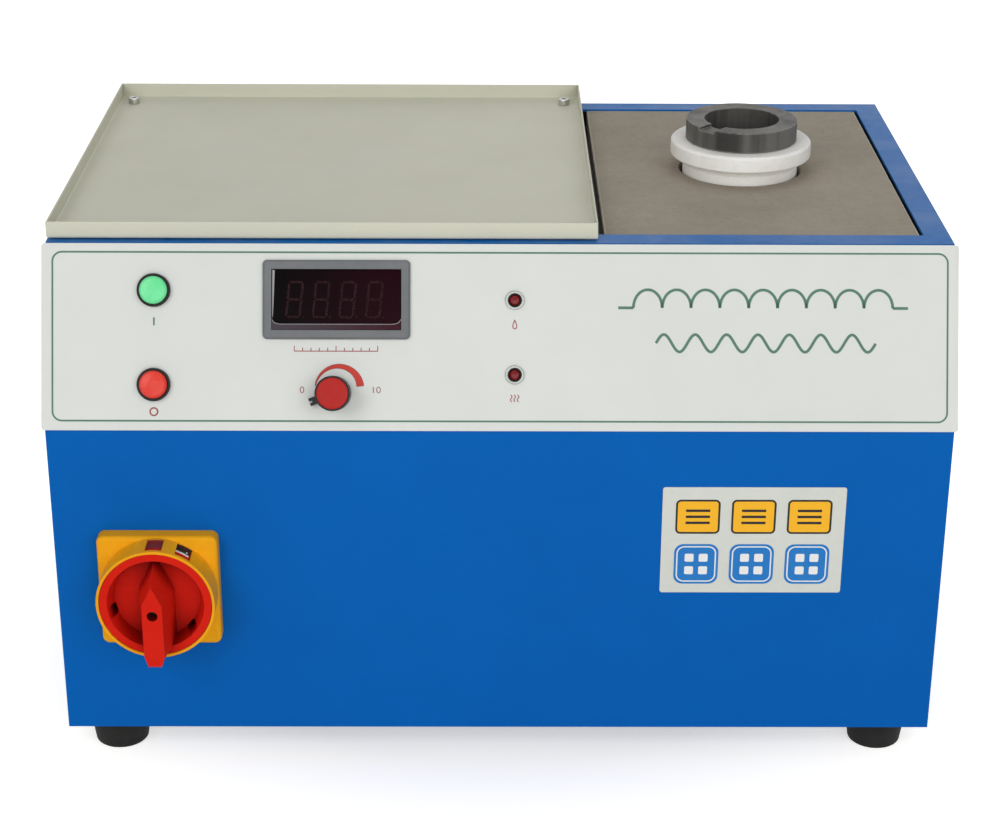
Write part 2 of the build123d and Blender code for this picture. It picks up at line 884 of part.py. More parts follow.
core_y = melt_centre[1]
shelf_top = base_floor + shelf_height
core_z = shelf_top + core_height / 2
core_plane = Plane(origin=(core_x, core_y, core_z), x_dir=(1, 0, 0), z_dir=(0, -1, 0))
core_window_width = (core_width - core_centre_limb) / 2 - core_limb
core_window_height = core_height - 2 * core_limb

with BuildPart() as inner_shelf:
    with BuildSketch(Plane(origin=(core_x, core_y, 0), x_dir=(1, 0, 0), z_dir=(0, -1, 0))):
        with Locations((0, (base_floor + shelf_top) / 2)):
            Rectangle(shelf_width, shelf_height)
        with Locations((0, base_floor)):
            Rectangle(shelf_width - 2 * shelf_sheet, 2 * (shelf_height - shelf_sheet), mode=Mode.SUBTRACT)
    extrude(amount=shelf_depth / 2, both=True)
save(inner_shelf, "inner_shelf")

with BuildPart() as transformer_core:
    with BuildSketch(core_plane):
        Rectangle(core_width, core_height)
        with GridLocations(core_centre_limb + core_window_width, 0, 2, 1):
            Rectangle(core_window_width, core_window_height, mode=Mode.SUBTRACT)
    extrude(amount=core_depth / 2, both=True)
save(transformer_core, "transformer_core")

with BuildPart() as transformer_winding:
    with BuildSketch(Plane.XY.offset(core_z - winding_height / 2)):
        with Locations((core_x, core_y)):
            RectangleRounded(winding_width, winding_depth, 6)
            Rectangle(
                core_centre_limb + 2 * winding_gap, core_depth + 2 * winding_gap, mode=Mode.SUBTRACT
            )
    extrude(amount=winding_height)
save(transformer_winding, "transformer_winding")

# Each coil leg passes through a copper terminal, which stands on a busbar from the winding.
winding_side = core_x + winding_width / 2
terminal_x = front_leg_end.X + terminal_length
busbar_end = terminal_x + terminal_length / 2
riser_x = terminal_x - terminal_length / 2 - busbar_thickness
front_terminal_z = (front_leg_end + (helix % 0) * terminal_length).Z
back_terminal_z = (back_leg_end - (helix % 1) * terminal_length).Z
front_terminal_bottom = front_terminal_z - terminal_height / 2
back_terminal_bottom = back_terminal_z - terminal_height / 2
busbar_root_z = core_z + winding_height / 2 - 2 * busbar_thickness
with BuildPart() as busbars:
    for leg_y, leg_z in ((core_y - coil_radius, front_terminal_z), (core_y + coil_radius, back_terminal_z)):
        with BuildSketch(Plane.YZ.offset(terminal_x - terminal_length / 2)):
            with Locations((leg_y, leg_z)):
                Rectangle(busbar_width, terminal_height)
                Circle(coil_tube_radius + terminal_fit, mode=Mode.SUBTRACT)
        extrude(amount=terminal_length)
    with BuildSketch(Plane(origin=(0, core_y - coil_radius, 0), x_dir=(1, 0, 0), z_dir=(0, -1, 0))):
        with Locations(((winding_side + busbar_end) / 2, front_terminal_bottom - busbar_thickness / 2)):
            Rectangle(busbar_end - winding_side, busbar_thickness)
    extrude(amount=busbar_width / 2, both=True)
    with BuildSketch(Plane(origin=(0, core_y + coil_radius, 0), x_dir=(1, 0, 0), z_dir=(0, -1, 0))):
        Polygon(
            (winding_side, busbar_root_z),
            (riser_x, busbar_root_z),
            (riser_x, back_terminal_bottom),
            (busbar_end, back_terminal_bottom),
            (busbar_end, back_terminal_bottom - busbar_thickness),
            (riser_x + busbar_thickness, back_terminal_bottom - busbar_thickness),
            (riser_x + busbar_thickness, busbar_root_z - busbar_thickness),
            (winding_side, busbar_root_z - busbar_thickness),
            align=None,
        )
    extrude(amount=busbar_width / 2, both=True)
save(busbars, "busbars")

with BuildPart() as tank_capacitors:
    with BuildSketch(Plane.XY.offset(base_floor)):
        with Locations((core_x, core_y)):
            with GridLocations(tank_cap_pitch, 0, tank_cap_count, 1):
                RectangleRounded(tank_cap_width, tank_cap_depth, 3)
    extrude(amount=tank_cap_height)
save(tank_capacitors, "tank_capacitors")

# ---------------------------------------------------------------- power electronics

sink_bottom = base_floor + sink_rail
sink_top = sink_bottom + sink_height
with BuildPart() as heat_sink:
    with BuildSketch(Plane.XY.offset(sink_bottom)):
        with Locations((sink_x, sink_y)):
            Rectangle(sink_width, sink_depth)
    extrude(amount=sink_height)
    # Two rails carry the block on the base pan.
    with BuildSketch(Plane.XY.offset(base_floor)):
        with Locations((sink_x, sink_y)):
            with GridLocations(sink_width - sink_rail, 0, 2, 1):
                Rectangle(sink_rail, sink_depth)
    extrude(amount=sink_rail)
    with BuildSketch(Plane.YZ.offset(sink_x + sink_width / 2)):
        with Locations((sink_y, (sink_bottom + sink_top) / 2)):
            with GridLocations(port_spacing, 0, 2, 1):
                Circle(port_radius)
    extrude(amount=port_length)
save(heat_sink, "heat_sink")

with BuildPart() as power_modules:
    with BuildSketch(Plane.XY.offset(sink_top)):
        with Locations((sink_x - sink_width / 2 + module_pitch, sink_y)):
            with GridLocations(module_pitch, 0, 2, 1):
                RectangleRounded(module_width, module_depth, 2)
    extrude(amount=module_height)
    # The rectifier bridge stands beside the two modules.
    with BuildSketch(Plane.XY.offset(sink_top)):
        with Locations((sink_x + sink_width / 2 - bridge_size * 3 / 4, sink_y)):
            RectangleRounded(bridge_size, bridge_size, 3)
    extrude(amount=bridge_height)
save(power_modules, "power_modules")

with BuildPart() as filter_capacitors:
    with BuildSketch(Plane.XY.offset(base_floor)):
        with Locations((filter_cap_x, filter_cap_y)):
            with GridLocations(0, filter_cap_pitch, 1, 2):
                Circle(filter_cap_radius)
    extrude(amount=filter_cap_height)
    fillet(filter_capacitors.edges().group_by(Axis.Z)[-1], 2)
save(filter_capacitors, "filter_capacitors")

with BuildPart() as control_transformer:
    with BuildSketch(Plane.XY.offset(base_floor)):
        with Locations((supply_x, supply_y)):
            Rectangle(supply_width, supply_depth)
    extrude(amount=supply_height)
    with BuildSketch(Plane.XY.offset(base_floor + supply_height / 5)):
        with Locations((supply_x, supply_y)):
            RectangleRounded(supply_width * 0.6, supply_depth * 1.35, 4)
    extrude(amount=supply_height * 0.6)
save(control_transformer, "control_transformer")

with BuildPart() as contactor:
    with BuildSketch(Plane.XY.offset(base_floor)):
        with Locations((isolator_x, contactor_y)):
            Rectangle(contactor_width, contactor_depth)
    extrude(amount=contactor_height * 0.6)
    with BuildSketch(Plane.XY.offset(base_floor)):
        with Locations((isolator_x, contactor_y)):
            Rectangle(contactor_width, contactor_depth * 0.6)
    extrude(amount=contactor_height)
save(contactor, "contactor")

# ---------------------------------------------------------------- control board

pcb_back_x = -inner_half_width + pcb_standoff
with BuildPart() as board_standoffs:
    with BuildSketch(Plane.YZ.offset(-inner_half_width)):
        with Locations((pcb_y, pcb_z)):
            with GridLocations(pcb_width - 2 * pcb_hole_inset, pcb_height - 2 * pcb_hole_inset, 2, 2):
                Circle(standoff_radius)
    extrude(amount=pcb_standoff)
save(board_standoffs, "board_standoffs")

with BuildPart() as control_board:
    with BuildSketch(Plane.YZ.offset(pcb_back_x)):
        with Locations((pcb_y, pcb_z)):
            Rectangle(pcb_width, pcb_height)
    extrude(amount=pcb_thickness)
    for size, spot, pitch, count in board_rows:
        with BuildSketch(Plane.YZ.offset(pcb_back_x + pcb_thickness)):
            with Locations((pcb_y + spot[0], pcb_z + spot[1])):
                with GridLocations(pitch, 0, count, 1):
                    Rectangle(size[0], size[1])
        extrude(amount=size[2], mode=Mode.ADD)
save(control_board, "control_board")

# ---------------------------------------------------------------- fan

fan_plane = Plane(origin=(fan_x, inner_rear, fan_z), x_dir=(1, 0, 0), z_dir=(0, -1, 0))
with BuildPart() as fan_frame:
    with BuildSketch(fan_plane):
        RectangleRounded(fan_size, fan_size, 4)
        Circle(fan_bore_radius, mode=Mode.SUBTRACT)
        with GridLocations(fan_hole_spacing, fan_hole_spacing, 2, 2):
            Circle(pan_screw_radius, mode=Mode.SUBTRACT)
    extrude(amount=fan_thickness)
    with BuildSketch(fan_plane):
        Circle(fan_boss_radius)
        Rectangle(2 * fan_bore_radius + fan_tip_gap, 4)
        Rectangle(4, 2 * fan_bore_radius + fan_tip_gap)
        Circle(fan_spindle_radius + fan_spindle_fit, mode=Mode.SUBTRACT)
    extrude(amount=fan_boss_depth)
save(fan_frame, "fan_frame")

rotor_back = fan_boss_depth + slide_fit
with BuildPart() as fan_rotor:
    with BuildSketch(fan_plane.offset(rotor_back)):
        Circle(fan_hub_radius)
    extrude(amount=fan_hub_depth)
    with BuildSketch(fan_plane):
        Circle(fan_spindle_radius)
    extrude(amount=rotor_back)
    with Locations(fan_plane.offset(rotor_back + fan_hub_depth / 2)):
        with PolarLocations((fan_hub_radius + fan_bore_radius - fan_tip_gap) / 2, fan_blade_count):
            Box(
                fan_bore_radius - fan_tip_gap - fan_hub_radius + 2,
                fan_blade_chord,
                fan_blade_thickness,
                rotation=(fan_blade_tilt, 0, 0),
            )
    with BuildSketch(fan_plane):
        Circle(fan_bore_radius - fan_tip_gap)
    extrude(amount=fan_thickness, mode=Mode.INTERSECT)
save(fan_rotor, "fan_rotor")

with BuildPart() as fan_guard:
    guard_plane = Plane(origin=(fan_x, rear_y + guard_wire, fan_z), x_dir=(-1, 0, 0), z_dir=(0, 1, 0))
    ring_pitch = fan_bore_radius / guard_ring_count
    for ring in range(guard_ring_count):
        with Locations(guard_plane.offset(guard_wire)):
            Torus(ring_pitch * (ring + 1), guard_wire)
    with BuildSketch(guard_plane):
        with Locations(Location((0, 0, 0), (0, 0, 45))):
            Rectangle(fan_hole_spacing * 2**0.5, 2 * guard_wire)
            Rectangle(2 * guard_wire, fan_hole_spacing * 2**0.5)
        with GridLocations(fan_hole_spacing, fan_hole_spacing, 2, 2):
            Circle(pan_head_radius)
        with GridLocations(fan_hole_spacing, fan_hole_spacing, 2, 2):
            Circle(pan_screw_radius + hole_fit, mode=Mode.SUBTRACT)
    extrude(amount=-guard_wire)
save(fan_guard, "fan_guard")

# ---------------------------------------------------------------- rear fittings

nipple_hex_height = nipple_reach - nipple_tail_length
nipple_inner_end = sheet + nipple_nut_height + nipple_inner_length
nipple_spots = [(-x, nipple_z) for x in (inlet_x, outlet_x)]
with BuildPart() as water_nipples:
    with BuildSketch(rear_plane):
        with Locations(*nipple_spots):
            RegularPolygon(nipple_flats / 2, 6, major_radius=False)
    extrude(amount=nipple_hex_height)
    with BuildSketch(rear_plane.offset(nipple_hex_height)):
        with Locations(*nipple_spots):
            Circle(nipple_tail_radius)
    extrude(amount=nipple_tail_length)
    with BuildSketch(rear_plane):
        with Locations(*nipple_spots):
            Circle(nipple_thread_radius)
    extrude(amount=-(sheet + nipple_nut_height))
    with BuildSketch(rear_plane.offset(-(sheet + nipple_nut_height))):
        with Locations(*nipple_spots):
            Circle(port_radius)
    extrude(amount=-nipple_inner_length)
    with BuildSketch(rear_plane.offset(nipple_reach)):
        with Locations(*nipple_spots):
            Circle(nipple_bore_radius)
    extrude(amount=-(nipple_reach + nipple_inner_end), mode=Mode.SUBTRACT)
save(water_nipples, "water_nipples")

gland_plane = Plane(origin=(gland_x, rear_y, gland_z), x_dir=(-1, 0, 0), z_dir=(0, 1, 0))
with BuildPart() as cable_gland:
    with BuildSketch(gland_plane):
        RegularPolygon(gland_flats / 2, 6, major_radius=False)
    extrude(amount=gland_hex_height)
    with BuildSketch(gland_plane.offset(gland_hex_height)):
        Circle(gland_thread_radius + 1)
    extrude(amount=gland_reach - gland_hex_height)
    fillet(cable_gland.edges().group_by(Axis.Y)[-1], 3)
    with BuildSketch(gland_plane):
        Circle(gland_thread_radius)
    extrude(amount=-(sheet + gland_inner_length))
    with BuildSketch(gland_plane.offset(gland_reach)):
        Circle(gland_bore_radius)
    extrude(amount=-(gland_reach + sheet + gland_inner_length), mode=Mode.SUBTRACT)
save(cable_gland, "cable_gland")

earth_plane = Plane(origin=(earth_x, rear_y, earth_z), x_dir=(-1, 0, 0), z_dir=(0, 1, 0))
with BuildPart() as earth_stud:
    with BuildSketch(earth_plane.offset(-(sheet + earth_nut_height))):
        Circle(earth_radius)
    extrude(amount=earth_length)
    for start, height in ((0, earth_nut_height), (-sheet, -earth_nut_height)):
        with BuildSketch(earth_plane.offset(start)):
            RegularPolygon(earth_nut_flats / 2, 6, major_radius=False)
        extrude(amount=height)
save(earth_stud, "earth_stud")

# ---------------------------------------------------------------- water path

flow_plane = Plane(origin=(inlet_x, rear_y - nipple_inner_end, nipple_z), x_dir=(1, 0, 0), z_dir=(0, -1, 0))
with BuildPart() as flow_switch:
    with BuildSketch(flow_plane):
        RectangleRounded(flow_switch_width, flow_switch_width, 3)
    extrude(amount=flow_switch_length)
    # The sensor stands on top of the brass body.
    with BuildSketch(Plane.XY.offset(nipple_z)):
        with Locations((inlet_x, rear_y - nipple_inner_end - flow_switch_length / 2)):
            Circle(flow_sensor_radius)
    extrude(amount=flow_sensor_height)
save(flow_switch, "flow_switch")

sink_port_x = sink_x + sink_width / 2 + port_length
sink_port_z = (sink_bottom + sink_top) / 2
supply_end = (inlet_x, rear_y - nipple_inner_end - flow_switch_length, nipple_z)
return_end = (outlet_x, rear_y - nipple_inner_end, nipple_z)
front_leg = tuple(front_leg_end - Vector(seam, 0, 0))
back_leg = tuple(back_leg_end - Vector(seam, 0, 0))
hose_rise_x = (sink_port_x + front_leg[0]) / 2
# Each hose is straight runs joined by tangent arcs: its corners, then one radius for each bend.
supply_route = [
    supply_end,
    (inlet_x, supply_end[1] - hose_lead, nipple_z),
    (inlet_x, sink_y + port_spacing / 2, sink_port_z),
    (sink_port_x, sink_y + port_spacing / 2, sink_port_z),
]
sink_to_coil_route = [
    (sink_port_x, sink_y - port_spacing / 2, sink_port_z),
    (hose_rise_x, sink_y - port_spacing / 2, sink_port_z),
    (hose_rise_x, sink_y, front_leg[2]),
    (hose_rise_x, front_leg[1], front_leg[2]),
    front_leg,
]
coil_to_outlet_route = [
    back_leg,
    (back_leg[0] - hose_lead, back_leg[1], back_leg[2]),
    (back_leg[0] - hose_lead, back_leg[1] + 2 * hose_lead, back_leg[2] - hose_lead / 2),
    (outlet_x, return_end[1] - hose_lead, return_end[2] + 2 * hose_lead),
    (outlet_x, return_end[1] - hose_lead, return_end[2]),
    return_end,
]
with BuildPart() as water_hoses:
    for route, radii in (
        (supply_route, [90, 25]),
        (sink_to_coil_route, [13, 20, 12]),
        (coil_to_outlet_route, [11, 16, 20, 10]),
    ):
        with BuildLine() as hose_line:
            FilletPolyline(*route, radius=radii)
        with BuildSketch(Plane(hose_line.wire() @ 0, z_dir=hose_line.wire() % 0)):
            Circle(hose_radius)
        sweep(path=hose_line.wire())
save(water_hoses, "water_hoses")

# ---------------------------------------------------------------- isolator switch

isolator_plane = Plane(origin=(isolator_x, front_y, isolator_z), x_dir=(1, 0, 0), z_dir=(0, -1, 0))
with BuildPart() as isolator_plate:
    with BuildSketch(isolator_plane):
        RectangleRounded(plate_size, plate_size, plate_corner)
    extrude(amount=plate_thickness)
    fillet(isolator_plate.faces().sort_by(Axis.Y)[0].edges(), plate_bevel)
    with BuildSketch(isolator_plane):
        Circle(collar_radius)
    extrude(amount=collar_front)
    with BuildSketch(isolator_plane.offset(plate_floor)):
        Circle(handle_radius + slide_fit)
    extrude(amount=collar_front, mode=Mode.SUBTRACT)
    with BuildSketch(isolator_plane):
        Circle(isolator_shaft_hole)
    extrude(amount=plate_floor, mode=Mode.SUBTRACT)
    # Windows in the collar show the handle's position.
    with Locations(isolator_plane.offset(isolator_window_back + isolator_window_depth / 2)):
        for angle in isolator_window_angles:
            with Locations(Location((*clock(angle, collar_radius), 0), (0, 0, -angle))):
                Box(
                    isolator_window_width,
                    4 * (collar_radius - handle_radius),
                    isolator_window_depth,
                    mode=Mode.SUBTRACT,
                )
save(isolator_plate, "isolator_plate")

rim_front = collar_front - handle_rim_drop
dish_floor = rim_front - dish_depth
tail_back = collar_front + tail_gap
tail_root_width = bar_front_width + (bar_base_width - bar_front_width) * (bar_front - tail_back) / (
    bar_front - dish_floor
)
with BuildPart() as isolator_handle:
    with BuildSketch(isolator_plane.offset(handle_back)):
        Circle(handle_radius)
    extrude(amount=rim_front - handle_back)
    with BuildSketch(isolator_plane.offset(rim_front)):
        Circle(dish_radius)
    extrude(amount=-dish_depth, taper=dish_taper, mode=Mode.SUBTRACT)
    # Three slots for padlocks.
    with BuildSketch(isolator_plane.offset(handle_back)):
        for angle in slot_angles:
            with Locations(Location((*clock(angle, slot_ring_radius), 0), (0, 0, 90 - angle))):
                SlotOverall(slot_length, slot_width, rotation=90)
    extrude(amount=collar_front, mode=Mode.SUBTRACT)
    # The grip narrows from the dish to its front face and is pointed at the top.
    with BuildSketch(isolator_plane.offset(dish_floor)):
        Polygon(
            (-bar_base_width / 2, -bar_base_bottom),
            (bar_base_width / 2, -bar_base_bottom),
            (bar_base_width / 2, bar_shoulder),
            (0, bar_ridge_top),
            (-bar_base_width / 2, bar_shoulder),
            align=None,
        )
    with BuildSketch(isolator_plane.offset(bar_front)):
        Polygon(
            (-bar_front_width / 2, -bar_front_bottom),
            (bar_front_width / 2, -bar_front_bottom),
            (bar_front_width / 2, bar_shoulder),
            (0, bar_tip),
            (-bar_front_width / 2, bar_shoulder),
            align=None,
        )
    loft(ruled=True)
    # Its tail reaches over the collar.
    tail_plane = Plane(origin=(isolator_x, front_y, isolator_z), x_dir=(1, 0, 0), z_dir=(0, 0, -1))
    with BuildSketch(tail_plane.offset(bar_front_bottom)):
        Polygon(
            (-tail_root_width / 2, tail_back),
            (tail_root_width / 2, tail_back),
            (bar_front_width / 2, bar_front),
            (-bar_front_width / 2, bar_front),
            align=None,
        )
    with BuildSketch(tail_plane.offset(bar_tail_reach)):
        Polygon(
            (-bar_tail_width / 2, tail_back),
            (bar_tail_width / 2, tail_back),
            (bar_tail_width / 2, bar_tail_front),
            (-bar_tail_width / 2, bar_tail_front),
            align=None,
        )
    loft(ruled=True)
    with BuildSketch(isolator_plane.offset(bar_front)):
        Circle(screw_hole_radius)
    extrude(amount=-screw_hole_depth, mode=Mode.SUBTRACT)
    with BuildSketch(isolator_plane.offset(bar_front)):
        Circle(screw_radius + hole_fit)
    extrude(amount=-(bar_front - handle_back), mode=Mode.SUBTRACT)
    with BuildSketch(isolator_plane.offset(handle_back)):
        Rectangle(isolator_shaft_size, isolator_shaft_size)
    extrude(amount=isolator_shaft_socket, mode=Mode.SUBTRACT)
save(isolator_handle, "isolator_handle")

shaft_front = handle_back + isolator_shaft_socket
screw_seat = bar_front - screw_hole_depth
with BuildPart() as isolator_shaft:
    with BuildSketch(isolator_plane.offset(shaft_front)):
        Rectangle(isolator_shaft_size, isolator_shaft_size)
        Circle(screw_radius, mode=Mode.SUBTRACT)
    extrude(amount=-screw_grip)
    with BuildSketch(isolator_plane.offset(shaft_front - screw_grip)):
        Rectangle(isolator_shaft_size, isolator_shaft_size)
    extrude(amount=-(shaft_front - screw_grip + sheet + isolator_body_depth / 2))
save(isolator_shaft, "isolator_shaft")

with BuildPart() as isolator_screw:
    with BuildSketch(isolator_plane.offset(screw_seat)):
        Circle(screw_head_radius)
    extrude(amount=screw_head_height)
    with BuildSketch(isolator_plane.offset(screw_seat + screw_head_height)):
        Rectangle(2 * screw_head_radius, screw_slot)
    extrude(amount=-screw_head_height / 2, mode=Mode.SUBTRACT)
    with BuildSketch(isolator_plane.offset(screw_seat)):
        Circle(screw_radius)
    extrude(amount=shaft_front - screw_grip - screw_seat)
save(isolator_screw, "isolator_screw")

with BuildPart() as isolator_body:
    with BuildSketch(isolator_plane.offset(-sheet)):
        Rectangle(isolator_body_size, isolator_body_size)
    extrude(amount=-isolator_body_depth)
    with BuildSketch(isolator_plane.offset(-sheet - isolator_body_depth / 4)):
        Rectangle(isolator_body_size, isolator_body_size + 2 * isolator_terminal_height)
    extrude(amount=-isolator_body_depth / 2)
    with BuildSketch(isolator_plane.offset(-sheet)):
        Circle(isolator_shaft_hole)
    extrude(amount=-isolator_body_depth / 2 - slide_fit, mode=Mode.SUBTRACT)
save(isolator_body, "isolator_body")

# ---------------------------------------------------------------- push buttons

button_spots = [(button_x, button_start_s), (button_x, button_stop_s)]
with BuildPart() as button_housings:
    with BuildSketch(panel_plane):
        with Locations(*button_spots):
            Circle(button_bezel_radius)
    extrude(amount=button_bezel_height)
    with BuildSketch(panel_plane):
        with Locations(*button_spots):
            Circle(button_barrel_radius)
    extrude(amount=-button_barrel_length)
    with BuildSketch(panel_plane.offset(-button_barrel_length)):
        with Locations(*button_spots):
            RectangleRounded(button_block_size, button_block_size, 1)
    extrude(amount=-button_block_length)
    with BuildSketch(panel_plane.offset(button_bezel_height)):
        with Locations(*button_spots):
            Circle(button_cap_radius + slide_fit)
    extrude(amount=-(button_bezel_height + button_floor), mode=Mode.SUBTRACT)
save(button_housings, "button_housings")

cap_back = button_travel + slide_fit - button_floor
for (x, s), name in zip(button_spots, ("start_button_cap", "stop_button_cap")):
    with BuildPart() as button_cap:
        with BuildSketch(panel_at(x, s).offset(cap_back)):
            Circle(button_cap_radius)
        extrude(amount=button_bezel_height + button_travel - cap_back)
        fillet(button_cap.faces().sort_by(Axis.Y)[0].edges(), button_cap_round)
    save(button_cap, name)

# ---------------------------------------------------------------- panel meter

meter_plane = panel_at(meter_x, meter_s)
with BuildPart() as meter_case:
    with BuildSketch(meter_plane):
        RectangleRounded(meter_width, meter_height, meter_corner)
    extrude(amount=meter_bezel)
    chamfer(meter_case.faces().sort_by(Axis.Y)[0].edges(), meter_bezel_bevel)
    with BuildSketch(meter_plane):
        Rectangle(meter_body_width, meter_body_height)
    extrude(amount=-meter_body_depth)
    with BuildSketch(meter_plane.offset(meter_bezel)):
        Rectangle(meter_window_width, meter_window_height)
    extrude(amount=-(meter_window_inset + meter_window_thickness), mode=Mode.SUBTRACT)
save(meter_case, "meter_case")

with BuildPart() as meter_window:
    with BuildSketch(meter_plane.offset(meter_bezel - meter_window_inset)):
        Rectangle(meter_window_width - 2 * hole_fit, meter_window_height - 2 * hole_fit)
    extrude(amount=-meter_window_thickness)
save(meter_window, "meter_window")

# ---------------------------------------------------------------- power knob

knob_plane = panel_at(knob_x, knob_s)
pot_bush_front = pot_nut_height + pot_bush_proud
pot_shaft_back = -panel_sheet - pot_body_depth / 2
recess_floor = knob_back + knob_recess_depth
with BuildPart() as potentiometer:
    with BuildSketch(knob_plane.offset(-panel_sheet)):
        Circle(pot_body_radius)
    extrude(amount=-pot_body_depth)
    with BuildSketch(knob_plane.offset(-panel_sheet)):
        Circle(pot_bush_radius)
    extrude(amount=panel_sheet + pot_bush_front)
    with BuildSketch(knob_plane.offset(pot_bush_front)):
        Circle(pot_shaft_radius + pot_shaft_fit)
    extrude(amount=pot_shaft_back - slide_fit - pot_bush_front, mode=Mode.SUBTRACT)
save(potentiometer, "potentiometer")

with BuildPart() as pot_shaft:
    with BuildSketch(knob_plane.offset(pot_shaft_back)):
        Circle(pot_shaft_radius)
    extrude(amount=recess_floor + pot_socket_depth - pot_shaft_back)
save(pot_shaft, "pot_shaft")

with BuildPart() as knob_body:
    with BuildSketch(knob_plane.offset(knob_back)):
        Circle(knob_radius)
    extrude(amount=knob_front - knob_back)
    # The pointer stands out of the knob's foot, with a notch at its end.
    with BuildSketch(knob_plane.offset(knob_back)):
        with Locations(Location((0, 0, 0), (0, 0, 90 - pointer_angle))):
            with Locations((knob_radius + pointer_length / 2 - pointer_width / 4, 0)):
                Rectangle(pointer_length + pointer_width / 2, pointer_width)
            with Locations((knob_radius + pointer_length, 0)):
                Rectangle(pointer_notch_length, pointer_notch_width, mode=Mode.SUBTRACT)
    extrude(amount=pointer_thickness)
    with BuildSketch(knob_plane.offset(knob_back)):
        Circle(knob_recess_radius)
    extrude(amount=knob_recess_depth, mode=Mode.SUBTRACT)
    with BuildSketch(knob_plane.offset(knob_back)):
        Circle(pot_shaft_radius)
    extrude(amount=knob_recess_depth + pot_socket_depth, mode=Mode.SUBTRACT)
    with BuildSketch(knob_plane.offset(knob_front)):
        Circle(knob_cap_radius)
    extrude(amount=knob_cap_proud - knob_cap_thickness, mode=Mode.SUBTRACT)
save(knob_body, "knob_body")

with BuildPart() as knob_cap:
    with BuildSketch(knob_plane.offset(knob_front + knob_cap_proud)):
        Circle(knob_cap_radius)
    extrude(amount=-knob_cap_thickness)
save(knob_cap, "knob_cap")

# ---------------------------------------------------------------- indicator lamps

lamp_spots = [(lamp_x, lamp_water_s), (lamp_x, lamp_heat_s)]
with BuildPart() as lamp_bezels:
    with BuildSketch(panel_plane):
        with Locations(*lamp_spots):
            Circle(lamp_bezel_radius)
    extrude(amount=lamp_bezel_height)
    with BuildSketch(panel_plane):
        with Locations(*lamp_spots):
            Circle(lamp_body_radius)
    extrude(amount=-lamp_body_length)
    with BuildSketch(panel_plane.offset(lamp_bezel_height)):
        with Locations(*lamp_spots):
            Circle(lamp_lens_radius)
    extrude(amount=-(lamp_bezel_height + lamp_lens_seat), mode=Mode.SUBTRACT)
save(lamp_bezels, "lamp_bezels")

with BuildPart() as lamp_lenses:
    with BuildSketch(panel_plane.offset(-lamp_lens_seat)):
        with Locations(*lamp_spots):
            Circle(lamp_lens_radius - hole_fit / 2)
    extrude(amount=lamp_lens_seat + lamp_lens_proud)
    fillet(lamp_lenses.edges().group_by(Axis((0, 0, 0), panel_plane.z_dir))[-1], lamp_lens_round)
save(lamp_lenses, "lamp_lenses")

# ---------------------------------------------------------------- nuts of the panel-mounted fittings

with BuildPart() as fitting_nuts:
    with BuildSketch(rear_plane.offset(-sheet)):
        with Locations(*nipple_spots):
            hexagon(nipple_flats, nipple_thread_radius)
    extrude(amount=-nipple_nut_height)
    with BuildSketch(gland_plane.offset(-sheet)):
        hexagon(gland_flats, gland_thread_radius)
    extrude(amount=-gland_nut_height)
    with BuildSketch(panel_plane.offset(-panel_sheet)):
        with Locations(*button_spots):
            hexagon(button_nut_flats, button_barrel_radius)
    extrude(amount=-button_nut_height)
    with BuildSketch(knob_plane):
        hexagon(pot_nut_flats, pot_bush_radius)
    extrude(amount=pot_nut_height)
save(fitting_nuts, "fitting_nuts")

# ---------------------------------------------------------------- blank plate

with BuildPart() as label_plate:
    with BuildSketch(front_plane):
        with Locations((label_x, box_bottom + label_z)):
            RectangleRounded(label_width, label_height, label_corner)
    extrude(amount=label_thickness)
save(label_plate, "label_plate")
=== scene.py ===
"""A bench-top induction furnace for melting gold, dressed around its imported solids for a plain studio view."""

import json
from functools import partial, partialmethod, reduce

import bmesh
import bpy
import numpy as np
from mathutils import Matrix, Vector

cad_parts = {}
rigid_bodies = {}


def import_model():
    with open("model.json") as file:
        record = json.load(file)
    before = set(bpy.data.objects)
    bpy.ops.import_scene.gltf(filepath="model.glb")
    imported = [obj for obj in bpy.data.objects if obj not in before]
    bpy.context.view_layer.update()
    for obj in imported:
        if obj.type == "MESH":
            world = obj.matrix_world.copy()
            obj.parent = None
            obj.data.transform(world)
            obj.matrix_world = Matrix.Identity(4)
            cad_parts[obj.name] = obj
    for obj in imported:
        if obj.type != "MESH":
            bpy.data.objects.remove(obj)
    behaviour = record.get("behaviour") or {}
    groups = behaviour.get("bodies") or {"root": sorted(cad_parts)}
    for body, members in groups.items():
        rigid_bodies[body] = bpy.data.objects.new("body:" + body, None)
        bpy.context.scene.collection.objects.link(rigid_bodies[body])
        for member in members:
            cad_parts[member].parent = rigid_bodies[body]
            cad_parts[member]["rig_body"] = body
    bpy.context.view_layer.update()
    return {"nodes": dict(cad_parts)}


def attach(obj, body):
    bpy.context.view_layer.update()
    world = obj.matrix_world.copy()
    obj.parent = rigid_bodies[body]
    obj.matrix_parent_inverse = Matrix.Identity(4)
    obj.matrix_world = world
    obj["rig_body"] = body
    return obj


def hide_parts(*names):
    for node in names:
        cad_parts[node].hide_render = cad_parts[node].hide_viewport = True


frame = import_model()
scene = bpy.context.scene

# ---- sizes, in millimetres, as in the part's source

